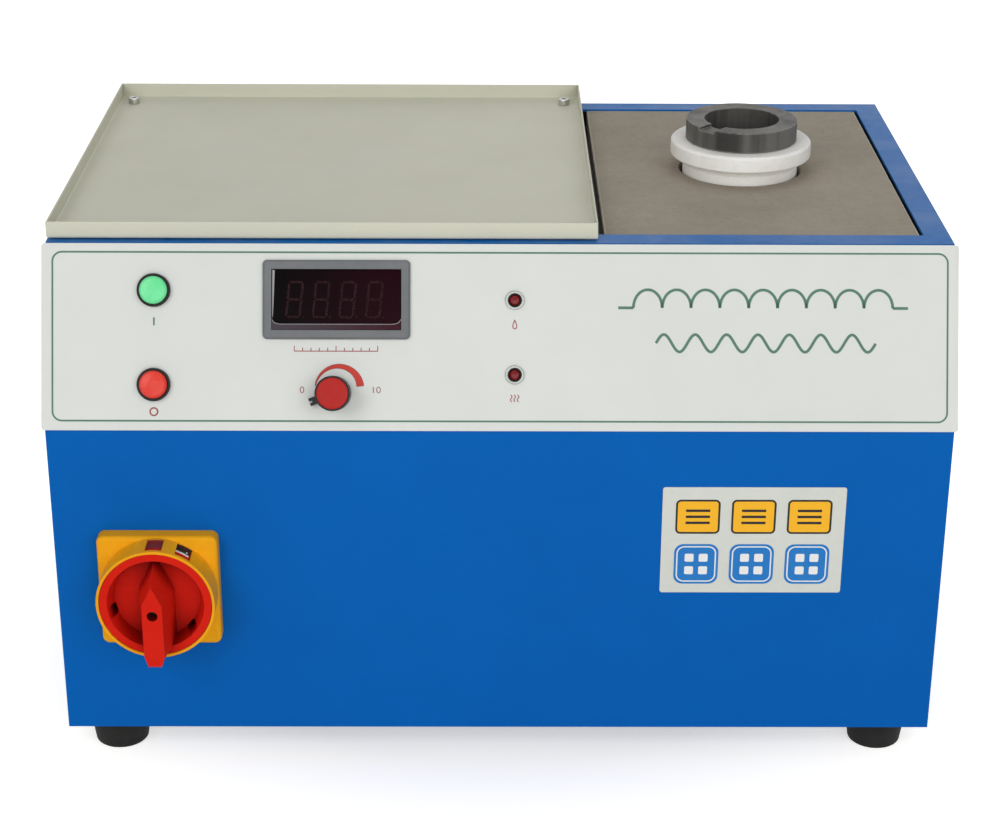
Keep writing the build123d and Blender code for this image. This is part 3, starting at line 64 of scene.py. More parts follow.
MM = 0.001
HALF_WIDTH, FRONT_Y, REAR_Y = 240.0, -155.0, 155.0
BOX_TOP, PANEL_FOOT_Z = 292.0, 201.0
PANEL_SETBACK, PANEL_RISE = 38.0, 91.0
PANEL_LENGTH = float(np.hypot(PANEL_SETBACK, PANEL_RISE))
MELT_CENTRE = (140.0, 21.5)
BOARD_X, BOARD_Y, BOARD_Z = (55.6, 224.4), (-100.4, 140.4), (281.2, 291.2)
BOARD_HOLE_RADIUS = 35.2
SLEEVE_BOTTOM, SLEEVE_TOP, FLANGE_TOP = 175.0, 300.0, 309.2
TRAY_X, TRAY_Y, TRAY_Z = (-240.0, 51.5), (-112.0, 163.0), (292.6, 302.0)
TRAY_SHEET = 1.0
TRAY_FOLD = 7.0  # how far in from the edge a folded side meets the tray's floor
TRAY_SCREWS = [(x, y) for x in (-230.0, 41.5) for y in (-103.0, 146.0)]
ISOLATOR = (-183.65, 110.0)
BUTTON_X, BUTTON_START_S, BUTTON_STOP_S = -182.6, 73.9, 24.2
METER, METER_TINT_REACH = (-86.45, 69.1), 30.0
KNOB, DIAL_CENTRE, DIAL_RADIUS = (-87.7, 19.8), (-84.9, 22.2), 13.0
LAMP_X, LAMP_SPOTS = 7.5, (69.0, 29.7)
LABEL = (136.2, 137.1)
FEET = [(x, y) for x in (-214.6, 214.6) for y in (-130.8, 130.8)]
REAR_FITTING_Z, NIPPLES_ACROSS, GLAND_ACROSS = 62.0, (-75.0, -125.0), 195.0
FAN_CENTRE, FAN_SCREW_REACH = (110.0, 205.0), 41.25
PRINT_FILM = 0.06

# ---- planes to draw on


def plane(origin, right, up):
    """A drawing plane: its origin and the rows right, up and outward, which is right x up."""
    right, up = np.array(right, float), np.array(up, float)
    return np.array(origin, float), np.stack([right, up, np.cross(right, up)])


def put(points, where):
    """Places of local points (across, up, outward) in the frame, in metres: origin + points . axes."""
    origin, axes = where
    return (origin + np.asarray(points, float) @ axes) * MM


def at(where, across, up, out=0.0):
    """The same plane with its origin moved within it, or outwards."""
    origin, axes = where
    return origin + np.array([across, up, out]) @ axes, axes


slope = np.array([0.0, PANEL_SETBACK, PANEL_RISE]) / PANEL_LENGTH
PANEL = plane((0, FRONT_Y, PANEL_FOOT_Z), (1, 0, 0), slope)
FRONT = plane((0, FRONT_Y, 0), (1, 0, 0), (0, 0, 1))
REAR = plane((0, REAR_Y, 0), (-1, 0, 0), (0, 0, 1))
FLOOR = plane((0, 0, 0), (1, 0, 0), (0, 1, 0))
MELT = at(FLOOR, *MELT_CENTRE)
METER_FACE = at(PANEL, *METER, 2.0)
PLATE = at(FRONT, *LABEL, 0.6)

# ---- shells and pieces


def grid_shell(grid, closed=False):
    """Points and faces of a tube on a grid: each face joins (i, j), (i, j+1), (i+1, j+1) and (i+1, j).

    Columns always run round. Rows run round too when closed, and otherwise the first and last are capped."""
    rows, columns = grid.shape[:2]
    i = np.arange(rows if closed else rows - 1)[:, None]
    j = np.arange(columns)[None, :]
    i_next, j_next = (i + 1) % rows, (j + 1) % columns
    corners = [i * columns + j, i * columns + j_next, i_next * columns + j_next, i_next * columns + j]
    faces = np.stack(corners, axis=-1).reshape(-1, 4).tolist()
    if not closed:
        faces.append(list(range(columns))[::-1])
        faces.append([(rows - 1) * columns + k for k in range(columns)])
    return grid.reshape(-1, 3), faces


def outline(half_width, half_height, corner, steps):
    """Corner centres and outward directions round a rounded rectangle.

    A point at a distance d outside the outline is its corner centre + (corner + d) x its direction."""
    turn = np.linspace(0, np.pi / 2, steps + 1)
    angle = np.concatenate([turn + quarter * np.pi / 2 for quarter in range(4)])
    signs = np.repeat([[1, 1], [-1, 1], [-1, -1], [1, -1]], steps + 1, axis=0)
    centres = signs * np.array([half_width - corner, half_height - corner])
    return centres, np.c_[np.cos(angle), np.sin(angle)]


def soften(corners, steps=4):
    """A profile through (offset, height, radius) corners: each is an arc of its radius, or sharp without one."""

    def unit(way):
        """A way divided by its own length."""
        return way / np.hypot(*way)

    given = np.array([(*corner, 0)[:3] for corner in corners], float)
    points = [given[0, :2]]
    for back, (x, y, radius), ahead in zip(given[:-2], given[1:-1], given[2:]):
        here = np.array([x, y])
        if radius == 0:
            points.append(here)
            continue
        ways = unit(back[:2] - here), unit(ahead[:2] - here)
        half = np.arccos(np.clip(ways[0] @ ways[1], -1, 1)) / 2
        middle = here + unit(ways[0] + ways[1]) * radius / np.sin(half)
        ends = [here + way * radius / np.tan(half) - middle for way in ways]
        first, last = [np.arctan2(end[1], end[0]) for end in ends]
        last = first + (last - first + np.pi) % (2 * np.pi) - np.pi
        arc = np.linspace(first, last, steps + 1)
        points.extend(middle + radius * np.c_[np.cos(arc), np.sin(arc)])
    points.append(given[-1, :2])
    return np.array(points)


def moulding(where, profile, half_width, half_height, corner, steps=8):
    """A profile of (offset, height) carried round a rounded rectangle, each point its offset outside the outline."""
    centres, directions = outline(half_width, half_height, corner, steps)
    reach = corner + profile[:, 0, None, None]
    flat = centres[None] + reach * directions[None]
    heights = np.broadcast_to(profile[:, 1, None, None], flat.shape[:2] + (1,))
    return grid_shell(put(np.concatenate([flat, heights], axis=2), where))


def turned(where, profile, steps=16, closed=False, form=None, lift=None):
    """A profile of (radius, height) turned round the plane's outward axis: x = r cos a, y = r sin a.

    form(angle, radius, height) gives the change of radius, for flats and flutes, and lift that of height."""
    angle = np.linspace(0, 2 * np.pi, 4 * steps, endpoint=False)
    radius = np.repeat(profile[:, :1], len(angle), axis=1)
    height = np.repeat(profile[:, 1:2], len(angle), axis=1)
    if form is not None:
        radius = radius + form(angle[None], radius, height)
    if lift is not None:
        height = height + lift(angle[None], radius, height)
    points = np.stack([radius * np.cos(angle), radius * np.sin(angle), height], axis=2)
    return grid_shell(put(points, where), closed)


def strip(where, left, right, height=PRINT_FILM, closed=False):
    """A flat strip between two lines on a plane: its section is a thin rectangle from just below it to height."""
    low = -PRINT_FILM / 2
    sides = ((left, low), (left, height), (right, height), (right, low))
    corners = [np.c_[side, np.full(len(side), out)] for side, out in sides]
    return grid_shell(put(np.stack(corners, axis=1), where), closed)


def stroke(where, line, width, height=PRINT_FILM, closed=False):
    """A drawn line: the strip between line + w/2 x its normal and line - w/2 x its normal."""
    line = np.asarray(line, float)
    if closed:
        tangent = np.roll(line, -1, axis=0) - np.roll(line, 1, axis=0)
    else:
        tangent = np.gradient(line, axis=0)
    normal = np.c_[-tangent[:, 1], tangent[:, 0]] / np.linalg.norm(tangent, axis=1)[:, None]
    return strip(where, line + normal * width / 2, line - normal * width / 2, height, closed)


def frame_line(where, half_width, half_height, corner, width, height=PRINT_FILM, steps=8):
    """A drawn line round a rounded rectangle: each corner centre + corner x its direction."""
    centres, ways = outline(half_width, half_height, corner, steps)
    return stroke(where, centres + corner * ways, width, height, closed=True)


def arc_line(centre, radius, start, end, count=24):
    """Points at a radius round a centre between two clock angles in degrees, clockwise from the top."""
    angle = np.radians(np.linspace(start, end, count))
    return np.c_[centre[0] + radius * np.sin(angle), centre[1] + radius * np.cos(angle)]


def ripple(angle, height, amount, seed):
    """A small uneven wander round a rim: a sum of sines of whole numbers of waves, each with its own phase."""
    draw = np.random.default_rng(seed)
    waves = draw.integers(5, 60, 14)
    phases = draw.uniform(0, 2 * np.pi, 14)
    tilt = draw.uniform(-0.6, 0.6, 14)
    total = sum(np.sin(w * angle + p + t * height) for w, p, t in zip(waves, phases, tilt))
    return amount * total / np.sqrt(14)


def piece(name, shells, slot, stands_for=(), finish="", body="cabinet", crease=32):
    """One object from several closed shells, with its faces outwards, its finish and its body."""
    mesh = bpy.data.meshes.new(name)
    builder = bmesh.new()
    for points, faces in shells:
        verts = [builder.verts.new(p) for p in points]
        for face in faces:
            builder.faces.new([verts[k] for k in face])
        bmesh.ops.remove_doubles(builder, verts=verts, dist=1e-6)
    bmesh.ops.dissolve_degenerate(builder, edges=builder.edges, dist=1e-7)
    bmesh.ops.recalc_face_normals(builder, faces=builder.faces)
    builder.to_mesh(mesh)
    builder.free()
    finished(name, mesh, slot, stands_for, finish, body, crease)


def eased(node, slot, ease, finish="", steps=2):
    """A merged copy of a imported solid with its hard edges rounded, in that solid's place."""
    source = frame["nodes"][node]
    mesh = source.data.copy()
    builder = bmesh.new()
    builder.from_mesh(mesh)
    bmesh.ops.remove_doubles(builder, verts=builder.verts, dist=2e-6)
    bmesh.ops.dissolve_limit(
        builder, angle_limit=np.radians(1.0), verts=builder.verts, edges=builder.edges, delimit={"SHARP"}
    )
    builder.to_mesh(mesh)
    builder.free()
    finished(node + "_eased", mesh, slot, (node,), finish, source["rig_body"], 32, ease, steps)


def finished(name, mesh, slot, stands_for, finish, body, crease, ease=0.0, steps=2):
    """Links a mesh as an object at the origin, shades it and lets it ride on its body.

    Its finish is the slot's own unless another is named, and faces that meet at over crease degrees stay sharp."""
    mesh.polygons.foreach_set("use_smooth", np.ones(len(mesh.polygons), bool))
    mesh.set_sharp_from_angle(angle=np.radians(crease))
    mesh.materials.clear()
    mesh.materials.append(FINISHES[finish or slot])
    made = bpy.data.objects.new(name, mesh)
    scene.collection.objects.link(made)
    if ease:
        bevel = made.modifiers.new("eased_edges", "BEVEL")
        bevel.width = ease * MM
        bevel.segments = steps
        bevel.limit_method = "ANGLE"
        bevel.angle_limit = np.radians(crease)
        bevel.harden_normals = True
    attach(made, body)
    if stands_for:
        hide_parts(*stands_for)


# ---- shader nodes


def srgb(colour):
    """A colour in 0..255 screen values as the linear one that shaders take: s / 12.92, or ((s + 0.055) / 1.055)^2.4."""
    screen = np.array(colour) / 255.0
    linear = np.where(screen <= 0.04045, screen / 12.92, ((screen + 0.055) / 1.055) ** 2.4)
    return (*linear.tolist(), 1.0)


def paler(colour, share, more):
    """A paler tone of a screen colour: share x its linear value + more, at most 1."""
    return (*[min(1.0, share * c + more) for c in srgb(colour)[:3]], 1.0)


class Graph:
    """A shader tree being filled: each method adds nodes and returns what comes out of them."""

    def __init__(self, tree):
        self.tree = tree

    def fill(self, socket, value):
        """Links a socket to an output, or gives it a plain value."""
        if isinstance(value, bpy.types.NodeSocket):
            self.tree.links.new(value, socket)
        else:
            socket.default_value = value

    def node(self, kind, **values):
        """A shader node: lower-case names set its options, others its sockets, by a value or by a link."""
        made = self.tree.nodes.new("ShaderNode" + kind)
        for key, value in values.items():
            if key[0].islower():
                setattr(made, key, value)
            else:
                self.fill(made.inputs[key.replace("_", " ")], value)
        return made

    def operation(self, kind, name, terms):
        """A node that works out one operation on sockets or plain values."""
        made = self.node(kind, operation=name)
        for socket, term in zip(made.inputs, terms):
            self.fill(socket, term)
        return made

    def math(self, name, *terms):
        """An arithmetic operation, taken from left to right over all its terms."""
        if len(terms) > 2:
            return reduce(lambda first, second: self.math(name, first, second), terms)
        return self.operation("Math", name, terms).outputs[0]

    times = partialmethod(math, "MULTIPLY")
    plus = partialmethod(math, "ADD")
    minus = partialmethod(math, "SUBTRACT")

    def mix(self, factor, first, second):
        """first where the factor is 0 and second where it is 1; colours of three numbers are screen colours."""
        made = self.node("Mix", data_type="RGBA")
        for index, term in ((0, factor), (6, first), (7, second)):
            self.fill(made.inputs[index], srgb(term) if isinstance(term, tuple) and len(term) == 3 else term)
        return made.outputs[2]

    def spread(self, value, low, high, to_low=0.0, to_high=1.0):
        """Carries low..high over to to_low..to_high, held at the ends."""
        made = self.node("MapRange", Value=value, From_Min=low, From_Max=high, To_Min=to_low, To_Max=to_high)
        return made.outputs["Result"]

    def place(self):
        """The point in Object coordinates."""
        return self.node("TexCoord").outputs["Object"]

    def noise(self, scale, detail, roughness=0.5):
        """Noise of 0..1 over the piece."""
        made = self.node("TexNoise", Vector=self.place(), Scale=scale, Detail=detail, Roughness=roughness)
        return made.outputs["Fac"]

    def use(self, effect_tree, **values):
        """One placing of a shared effect with its own values."""
        return self.node("Group", node_tree=effect_tree, **values).outputs[0]

    def seen_by(self, *rays):
        """1 for rays of the named kinds and 0 for the others: the greatest of their marks."""
        marks = self.node("LightPath").outputs
        return self.math("MAXIMUM", *[marks[ray] for ray in rays])


class Finish(Graph):
    """A material being filled: a tree with its shader and its output."""

    def __init__(self, name):
        self.material = bpy.data.materials.new(name)
        self.material.use_nodes = True
        super().__init__(self.material.node_tree)
        self.tree.nodes.clear()
        self.shader = self.node("BsdfPrincipled")
        self.output = self.node("OutputMaterial", Surface=self.shader.outputs[0])

    def done(self, colour, roughness, height=None, strength=0.0, distance=0.0, **values):
        """Joins colour, roughness, a bump from height and any other values to the shader; returns the material."""
        if height is not None:
            values["Normal"] = self.node("Bump", Strength=strength, Distance=distance, Height=height).outputs["Normal"]
        for key, value in {"Base Color": colour, "Roughness": roughness, **values}.items():
            self.fill(self.shader.inputs[key.replace("_", " ")], value)
        return self.material


def effect(name, result, *inputs):
    """Turns the formula that follows into a shader group with these number inputs and one output, the result."""
    tree = bpy.data.node_groups.new(name, "ShaderNodeTree")
    for label in (*inputs, result):
        way = "OUTPUT" if label == result else "INPUT"
        tree.interface.new_socket(name=label, in_out=way, socket_type="NodeSocketFloat")
    given = tree.nodes.new("NodeGroupInput").outputs

    def filled_by(formula):
        """Joins what the formula makes of the inputs to the group's output."""
        worked_out = formula(Graph(tree), *[given[label] for label in inputs])
        tree.links.new(worked_out, tree.nodes.new("NodeGroupOutput").inputs[0])
        return tree

    return filled_by


@effect("edge_wear_and_highlight", "Mask", "Reach", "Amount", "Grain")
def EDGE_WEAR_AND_HIGHLIGHT(g, reach, amount, grain):
    """Mask of rubbed edges, and of a painted edge highlight: one minus the dot product of the rounded and the true
    normal, broken up by grain.
    """
    rounded = g.node("Bevel", samples=4, Radius=reach).outputs["Normal"]
    true = g.node("NewGeometry").outputs["Normal"]
    bend = g.minus(1.0, g.operation("VectorMath", "DOT_PRODUCT", (rounded, true)).outputs["Value"])
    broken = g.spread(g.noise(grain, 3.0), 0.35, 0.65, 0.2, 1.0)
    return g.times(g.spread(bend, 0.02, 0.22), broken, amount)


@effect("cloud", "Value", "Scale", "Contrast")
def CLOUD(g, scale, contrast):
    """Slow uneven colour: seven parts of broad noise and three of a finer one, spread about a half and held in 0..1."""
    fine = g.noise(g.times(scale, 6.3), 2.0)
    both = g.plus(g.times(g.noise(scale, 4.0, 0.6), 0.7), g.times(fine, 0.3))
    centred = g.times(g.minus(both, 0.5), g.times(contrast, 3.0))
    return g.spread(centred, -0.5, 0.5)


@effect("pebble", "Height", "Scale")
def PEBBLE(g, scale):
    """Height of a sprayed or moulded skin: noise at one scale with a third of the same at three times the scale."""
    return g.plus(g.noise(scale, 1.0), g.times(g.noise(g.times(scale, 3.1), 1.0), 0.33))


@effect("tool_mark_and_sheen", "Value", "X", "Y", "Z")
def TOOL_MARK_AND_SHEEN(g, x, y, z):
    """Fine lines left by cutting or drawing, and soft bands of painted sheen: noise squeezed along one axis by stretch
    factors in x, y and z.
    """
    stretch = g.node("CombineXYZ", X=x, Y=y, Z=z).outputs[0]
    squeezed = g.operation("VectorMath", "MULTIPLY", (g.place(), stretch)).outputs[0]
    return g.node("TexNoise", Vector=squeezed, Scale=1.0, Detail=3.0, Roughness=0.7).outputs["Fac"]


@effect("dust", "Mask", "Amount", "Scale")
def DUST(g, amount, scale):
    """Mask of dust on faces that look up: the upward part of the normal, broken up by noise."""
    up = g.node("SeparateXYZ", Vector=g.node("NewGeometry").outputs["Normal"]).outputs["Z"]
    return g.times(g.spread(up, 0.6, 1.0), g.spread(g.noise(scale, 5.0, 0.65), 0.4, 0.75), amount)


@effect("recess", "Mask", "Reach")
def PAINTED_RECESS_SHADE(g, reach):
    """Mask of painted shade in hollows: how far the piece's own walls close in on a point within a reach, from ambient
    occlusion.
    """
    openness = g.node("AmbientOcclusion", samples=6, only_local=True, Distance=reach).outputs["AO"]
    return g.spread(openness, 0.3, 0.82, 1.0, 0.0)


# ---- finishes


def powder_coat(name, colour, shade, bare, roughness=0.42, wear=0.35, dust=0.1, ior=1.28):
    """Sprayed and baked powder paint: slow colour drift, orange peel, rubbed edges and a little dust on top."""
    g = Finish(name)
    paint = g.mix(g.use(CLOUD, Scale=5.0, Contrast=0.8), colour, shade)
    rubbed = g.mix(g.use(EDGE_WEAR_AND_HIGHLIGHT, Reach=0.0007, Amount=wear, Grain=240.0), paint, bare)
    dusty = g.mix(g.use(DUST, Amount=dust, Scale=22.0), rubbed, (205, 203, 196))
    matt = g.spread(g.use(CLOUD, Scale=26.0, Contrast=1.0), 0.0, 1.0, roughness - 0.06, roughness + 0.08)
    return g.done(dusty, matt, g.use(PEBBLE, Scale=620.0), 0.12, 0.0004, IOR=ior)


def moulded_plastic(name, colour, shade, roughness, grain, depth, wear=0.25, ior=1.45, hollow=None):
    """Injection-moulded plastic: spark-eroded grain, faint flow marks and slightly polished edges.

    hollow gives the colour of a painted shade in its recesses, where it is darker."""
    g = Finish(name)
    body = g.mix(g.use(CLOUD, Scale=38.0, Contrast=0.9), colour, shade)
    # Painted shade: recesses darken towards the hollow colour.
    if hollow:
        body = g.mix(g.use(PAINTED_RECESS_SHADE, Reach=0.014), body, hollow)
    rubbed = g.mix(g.use(EDGE_WEAR_AND_HIGHLIGHT, Reach=0.0004, Amount=wear, Grain=500.0), body, paler(colour, 0.75, 0.12))
    matt = g.spread(g.use(CLOUD, Scale=90.0, Contrast=1.0), 0.0, 1.0, roughness - 0.07, roughness + 0.09)
    return g.done(rubbed, matt, g.use(PEBBLE, Scale=grain), depth, 0.0002, IOR=ior)


def worked_metal(name, colour, tarnish, roughness, marks=(60.0, 60.0, 3500.0), wear=0.3):
    """Machined, drawn or plated metal: fine tool marks, uneven tarnish and brighter edges."""
    g = Finish(name)
    lines = g.use(TOOL_MARK_AND_SHEEN, X=marks[0], Y=marks[1], Z=marks[2])
    age = g.use(CLOUD, Scale=24.0, Contrast=0.6)
    edge = g.use(EDGE_WEAR_AND_HIGHLIGHT, Reach=0.0003, Amount=wear, Grain=600.0)
    rubbed = g.mix(edge, g.mix(age, colour, tarnish), paler(colour, 1.25, 0.05))
    both = g.plus(g.times(lines, 0.5), g.times(age, 0.5))
    matt = g.spread(both, 0.25, 0.75, roughness - 0.1, roughness + 0.14)
    return g.done(rubbed, matt, lines, 0.18, 0.0001, Metallic=1.0)


def mineral_board_finish():
    """Pressed mineral board: grey-brown mottle, short fibres, dark specks, a warm ring by the heat, pale cut edges with
    a painted highlight along them.
    """
    g = Finish("mineral_board")
    patches = g.use(CLOUD, Scale=16.0, Contrast=1.1)
    fibres = g.use(TOOL_MARK_AND_SHEEN, X=220.0, Y=1500.0, Z=600.0)
    specks = g.noise(520.0, 2.0, 0.6)
    body = g.mix(patches, (160, 151, 138), (147, 139, 126))
    body = g.mix(g.spread(fibres, 0.5, 0.68, 0.0, 0.55), body, (170, 160, 144))
    body = g.mix(g.spread(specks, 0.62, 0.76, 0.0, 0.35), body, (104, 92, 78))
    to_melt = (-MELT_CENTRE[0] * MM, -MELT_CENTRE[1] * MM, 0.0)
    centred = g.node("Mapping", Vector=g.place(), Location=to_melt).outputs[0]
    flat = g.operation("VectorMath", "MULTIPLY", (centred, (1.0, 1.0, 0.0))).outputs[0]
    reach = g.operation("VectorMath", "LENGTH", (flat,)).outputs["Value"]
    heat = g.spread(reach, 36.0 * MM, 56.0 * MM, 0.3, 0.0)
    body = g.mix(g.times(heat, g.spread(patches, 0.2, 0.8, 0.5, 1.0)), body, (122, 98, 74))
    # Pale edges within about a millimetre of the board's sides: the cut edge's own paler core, and a painted highlight
    # where the edge catches the light.
    to_edge = []
    for axis, (low, high) in zip(g.node("SeparateXYZ", Vector=g.place()).outputs, (BOARD_X, BOARD_Y)):
        far = g.math("ABSOLUTE", g.minus(axis, (low + high) / 2 * MM))
        half = (high - low) / 2
        to_edge.append(g.spread(far, (half - 1.1) * MM, (half - 0.5) * MM, 0.0, 0.9))
    edge = g.times(g.math("MAXIMUM", *to_edge), g.spread(specks, 0.35, 0.55, 0.5, 1.0))
    matt = g.spread(specks, 0.3, 0.7, 0.72, 0.92)
    height = g.plus(g.times(fibres, 0.6), specks)
    return g.done(g.mix(edge, body, (206, 197, 180)), matt, height, 0.35, 0.0004, Specular_IOR_Level=0.25)


def fired_ceramic_finish():
    """Fired white ceramic: chalky, faintly warm in patches, with pits and paler crumbled edges."""
    g = Finish("fired_ceramic")
    patches = g.use(CLOUD, Scale=34.0, Contrast=1.0)
    pits = g.node("TexVoronoi", Vector=g.place(), Scale=420.0, Randomness=1.0).outputs["Distance"]
    hollow = g.spread(pits, 0.05, 0.22, 0.5, 0.0)
    body = g.mix(hollow, g.mix(patches, (243, 242, 238), (235, 233, 227)), (216, 211, 201))
    rough = g.mix(g.use(EDGE_WEAR_AND_HIGHLIGHT, Reach=0.0008, Amount=0.35, Grain=320.0), body, (247, 246, 242))
    height = g.minus(g.times(g.use(PEBBLE, Scale=1100.0), 0.5), g.times(hollow, 0.8))
    return g.done(rough, g.spread(patches, 0.0, 1.0, 0.78, 0.93), height, 0.4, 0.0003, Specular_IOR_Level=0.3)


def turned_graphite_finish():
    """Machined graphite: a painted sheen in soft bands round it, turning lines, open pores, painted shade in its bore
    and pale edges that are partly rubbed and partly a painted highlight.
    """
    g = Finish("turned_graphite")
    # Painted sheen: soft upright bands between dark and light grey stand for reflections on the turned side.
    painted_sheen_bands = g.use(TOOL_MARK_AND_SHEEN, X=42.0, Y=42.0, Z=4.0)
    lines = g.use(TOOL_MARK_AND_SHEEN, X=14.0, Y=14.0, Z=5200.0)
    pores = g.noise(1900.0, 2.0)
    body = g.mix(g.spread(painted_sheen_bands, 0.38, 0.6), (58, 57, 55), (104, 102, 98))
    body = g.mix(g.spread(lines, 0.45, 0.7, 0.0, 0.25), body, (108, 106, 103))
    body = g.mix(g.spread(pores, 0.6, 0.74, 0.0, 0.4), body, (24, 24, 25))
    # Painted shade: the bore and other hollows darken towards a deep grey.
    body = g.mix(g.use(PAINTED_RECESS_SHADE, Reach=0.03), body, (36, 35, 33))
    # Pale edges: partly rubbed wear and partly a painted highlight along the rim's chamfer.
    body = g.mix(g.use(EDGE_WEAR_AND_HIGHLIGHT, Reach=0.0012, Amount=1.0, Grain=300.0), body, (176, 174, 168))
    height = g.minus(lines, g.times(pores, 0.4))
    return g.done(body, g.spread(lines, 0.3, 0.7, 0.3, 0.46), height, 0.16, 0.0002, Metallic=0.15, IOR=1.2)


def lens_finish(name, colour, deep, rings, roughness=0.28, coat=0.15, ior=1.28):
    """A diffusing coloured lens: a deeper tone in patches, fine prisms inside and a clear glossy skin."""
    g = Finish(name)
    depth = g.use(CLOUD, Scale=70.0, Contrast=0.9)
    prisms = g.use(PEBBLE, Scale=rings)
    body = g.mix(g.times(depth, 0.3), g.mix(g.spread(prisms, 0.45, 0.9, 0.0, 0.35), colour, deep), deep)
    matt = g.spread(depth, 0.0, 1.0, roughness - 0.06, roughness + 0.08)
    return g.done(body, matt, prisms, 0.08, 0.0002, IOR=ior, Coat_Weight=coat, Coat_Roughness=0.08)


def smoked_window_finish(name, first, last, ior):
    """Smoked acrylic over an unlit display: a tint that goes from first to last across the meter, and wipe marks."""
    g = Finish(name)
    across = g.node("SeparateXYZ", Vector=g.place()).outputs["X"]
    ends = [(METER[0] + side * METER_TINT_REACH) * MM for side in (-1, 1)]
    tint = g.plus(g.spread(across, *ends, -0.1, 0.9), g.times(g.use(CLOUD, Scale=30.0, Contrast=1.0), 0.2))
    wipes = g.use(TOOL_MARK_AND_SHEEN, X=30.0, Y=400.0, Z=400.0)
    return g.done(g.mix(tint, first, last), g.spread(wipes, 0.35, 0.7, 0.1, 0.24), wipes, 0.02, 0.0001, IOR=ior)


def printed_ink(name, colour, roughness=0.5, ior=1.28):
    """Screen-printed ink: thin spots where the mesh of the screen shows, and a faint film edge."""
    g = Finish(name)
    thin = g.use(PEBBLE, Scale=2600.0)
    body = g.mix(g.spread(thin, 0.62, 0.95, 0.0, 0.45), colour, paler(colour, 0.8, 0.1))
    return g.done(body, g.spread(thin, 0.4, 0.9, roughness, roughness + 0.15), thin, 0.05, 0.0001, IOR=ior)


FINISHES = {"board": mineral_board_finish(), "ceramic": fired_ceramic_finish(), "graphite": turned_graphite_finish()}
for slot, *look in (
    ("blue_paint", "blue_powder_coat", (0, 95, 179), (0, 89, 170), (40, 124, 196), 0.42, 0.35, 0.05, 1.16),
    # The top panel's own copy of the blue paint: its colour and stronger dust are painted light, set to how the top
    # looks under the lamps, over some real dust.
    ("blue_top_paint", "blue_powder_coat_above", (0, 100, 174), (0, 94, 165), (40, 124, 190), 0.42, 0.35, 0.11),
    ("white_paint", "white_powder_coat", (216, 218, 214), (209, 212, 208), (240, 240, 238), 0.45, 0.2, 0.03),
    ("ivory_paint", "ivory_powder_coat", (206, 205, 188), (198, 198, 182), (224, 223, 206), 0.46, 0.45),
):
    FINISHES[slot] = powder_coat(*look)
for slot, *look in (
    ("refractory", "cast_refractory", (216, 206, 186), (198, 186, 164), 0.85, 700.0, 0.5),
    ("rubber", "black_rubber", (24, 23, 23), (33, 32, 31), 0.72, 1100.0, 0.25, 0.3, 1.3),
    ("black_plastic", "black_plastic", (22, 22, 23), (28, 28, 29), 0.34, 1700.0, 0.08, 0.25, 1.25),
    ("grey_plastic", "grey_plastic", (112, 115, 117), (103, 106, 109), 0.4, 1500.0, 0.12, 0.25, 1.3),
    ("yellow_plastic", "yellow_plastic", (238, 168, 26), (230, 159, 20), 0.36, 1700.0, 0.08, 0.3, 1.15),
    # The red plastic darkens to (108, 2, 2) in its recesses: painted shade, deepest in the isolator handle's dish.
    ("red_plastic", "red_plastic", (212, 36, 22), (204, 30, 18), 0.38, 1700.0, 0.08, 0.2, 1.12, (108, 2, 2)),
    ("knob_red", "knob_disc_red", (176, 32, 26), (166, 28, 23), 0.4, 1500.0, 0.1, 0.25, 1.25),
    ("ferrite", "sintered_ferrite", (58, 56, 56), (44, 42, 43), 0.6, 900.0, 0.25),
    ("capacitor_blue", "capacitor_sleeve", (28, 70, 150), (22, 58, 132), 0.3, 1200.0, 0.06),
    ("circuit_green", "solder_mask", (24, 92, 56), (18, 76, 46), 0.32, 1300.0, 0.1),
    ("hose", "reinforced_hose", (60, 66, 74), (48, 53, 60), 0.5, 800.0, 0.2),
    ("white_plate", "white_plate", (212, 214, 206), (204, 207, 199), 0.4, 1300.0, 0.05, 0.15, 1.3),
):
    FINISHES[slot] = moulded_plastic(*look)
for slot, *look in (
    ("copper", "drawn_copper", (204, 128, 92), (150, 84, 58), 0.3, (600.0, 600.0, 90.0)),
    ("brass", "turned_brass", (205, 172, 98), (168, 134, 70), 0.28, (3000.0, 30.0, 3000.0)),
    ("steel", "zinc_plated_steel", (178, 180, 178), (140, 142, 142), 0.36),
    ("stainless", "polished_stainless", (205, 205, 202), (170, 170, 168), 0.22),
    ("aluminium", "extruded_aluminium", (196, 198, 200), (164, 166, 168), 0.4, (30.0, 3000.0, 3000.0)),
    ("bezel_metal", "brushed_bezel", (158, 161, 157), (144, 147, 143), 0.5, (60.0, 60.0, 3500.0), 0.0),
    # A dark steel used as painted shade: on the ledge in the gap round the board and on the screw deep in the isolator
    # handle.
    ("blackened_steel", "blackened_steel", (64, 58, 56), (40, 36, 35), 0.42),
):
    FINISHES[slot] = worked_metal(*look)
for name, *look in (
    ("green_lens", (122, 233, 164), (64, 204, 122), 1500.0),
    ("red_lens", (228, 62, 44), (200, 36, 28), 1500.0),
    ("lamp_lens", (128, 8, 14), (70, 3, 7), 2400.0, 0.12, 0.3, 1.15),
):
    FINISHES[name] = lens_finish(name, *look)
for name, *look in (
    ("smoked_window", (5, 2, 3), (30, 1, 11), 1.1),
    ("meter_mask", (70, 64, 70), (56, 14, 28), 1.15),
):
    FINISHES[name] = smoked_window_finish(name, *look)
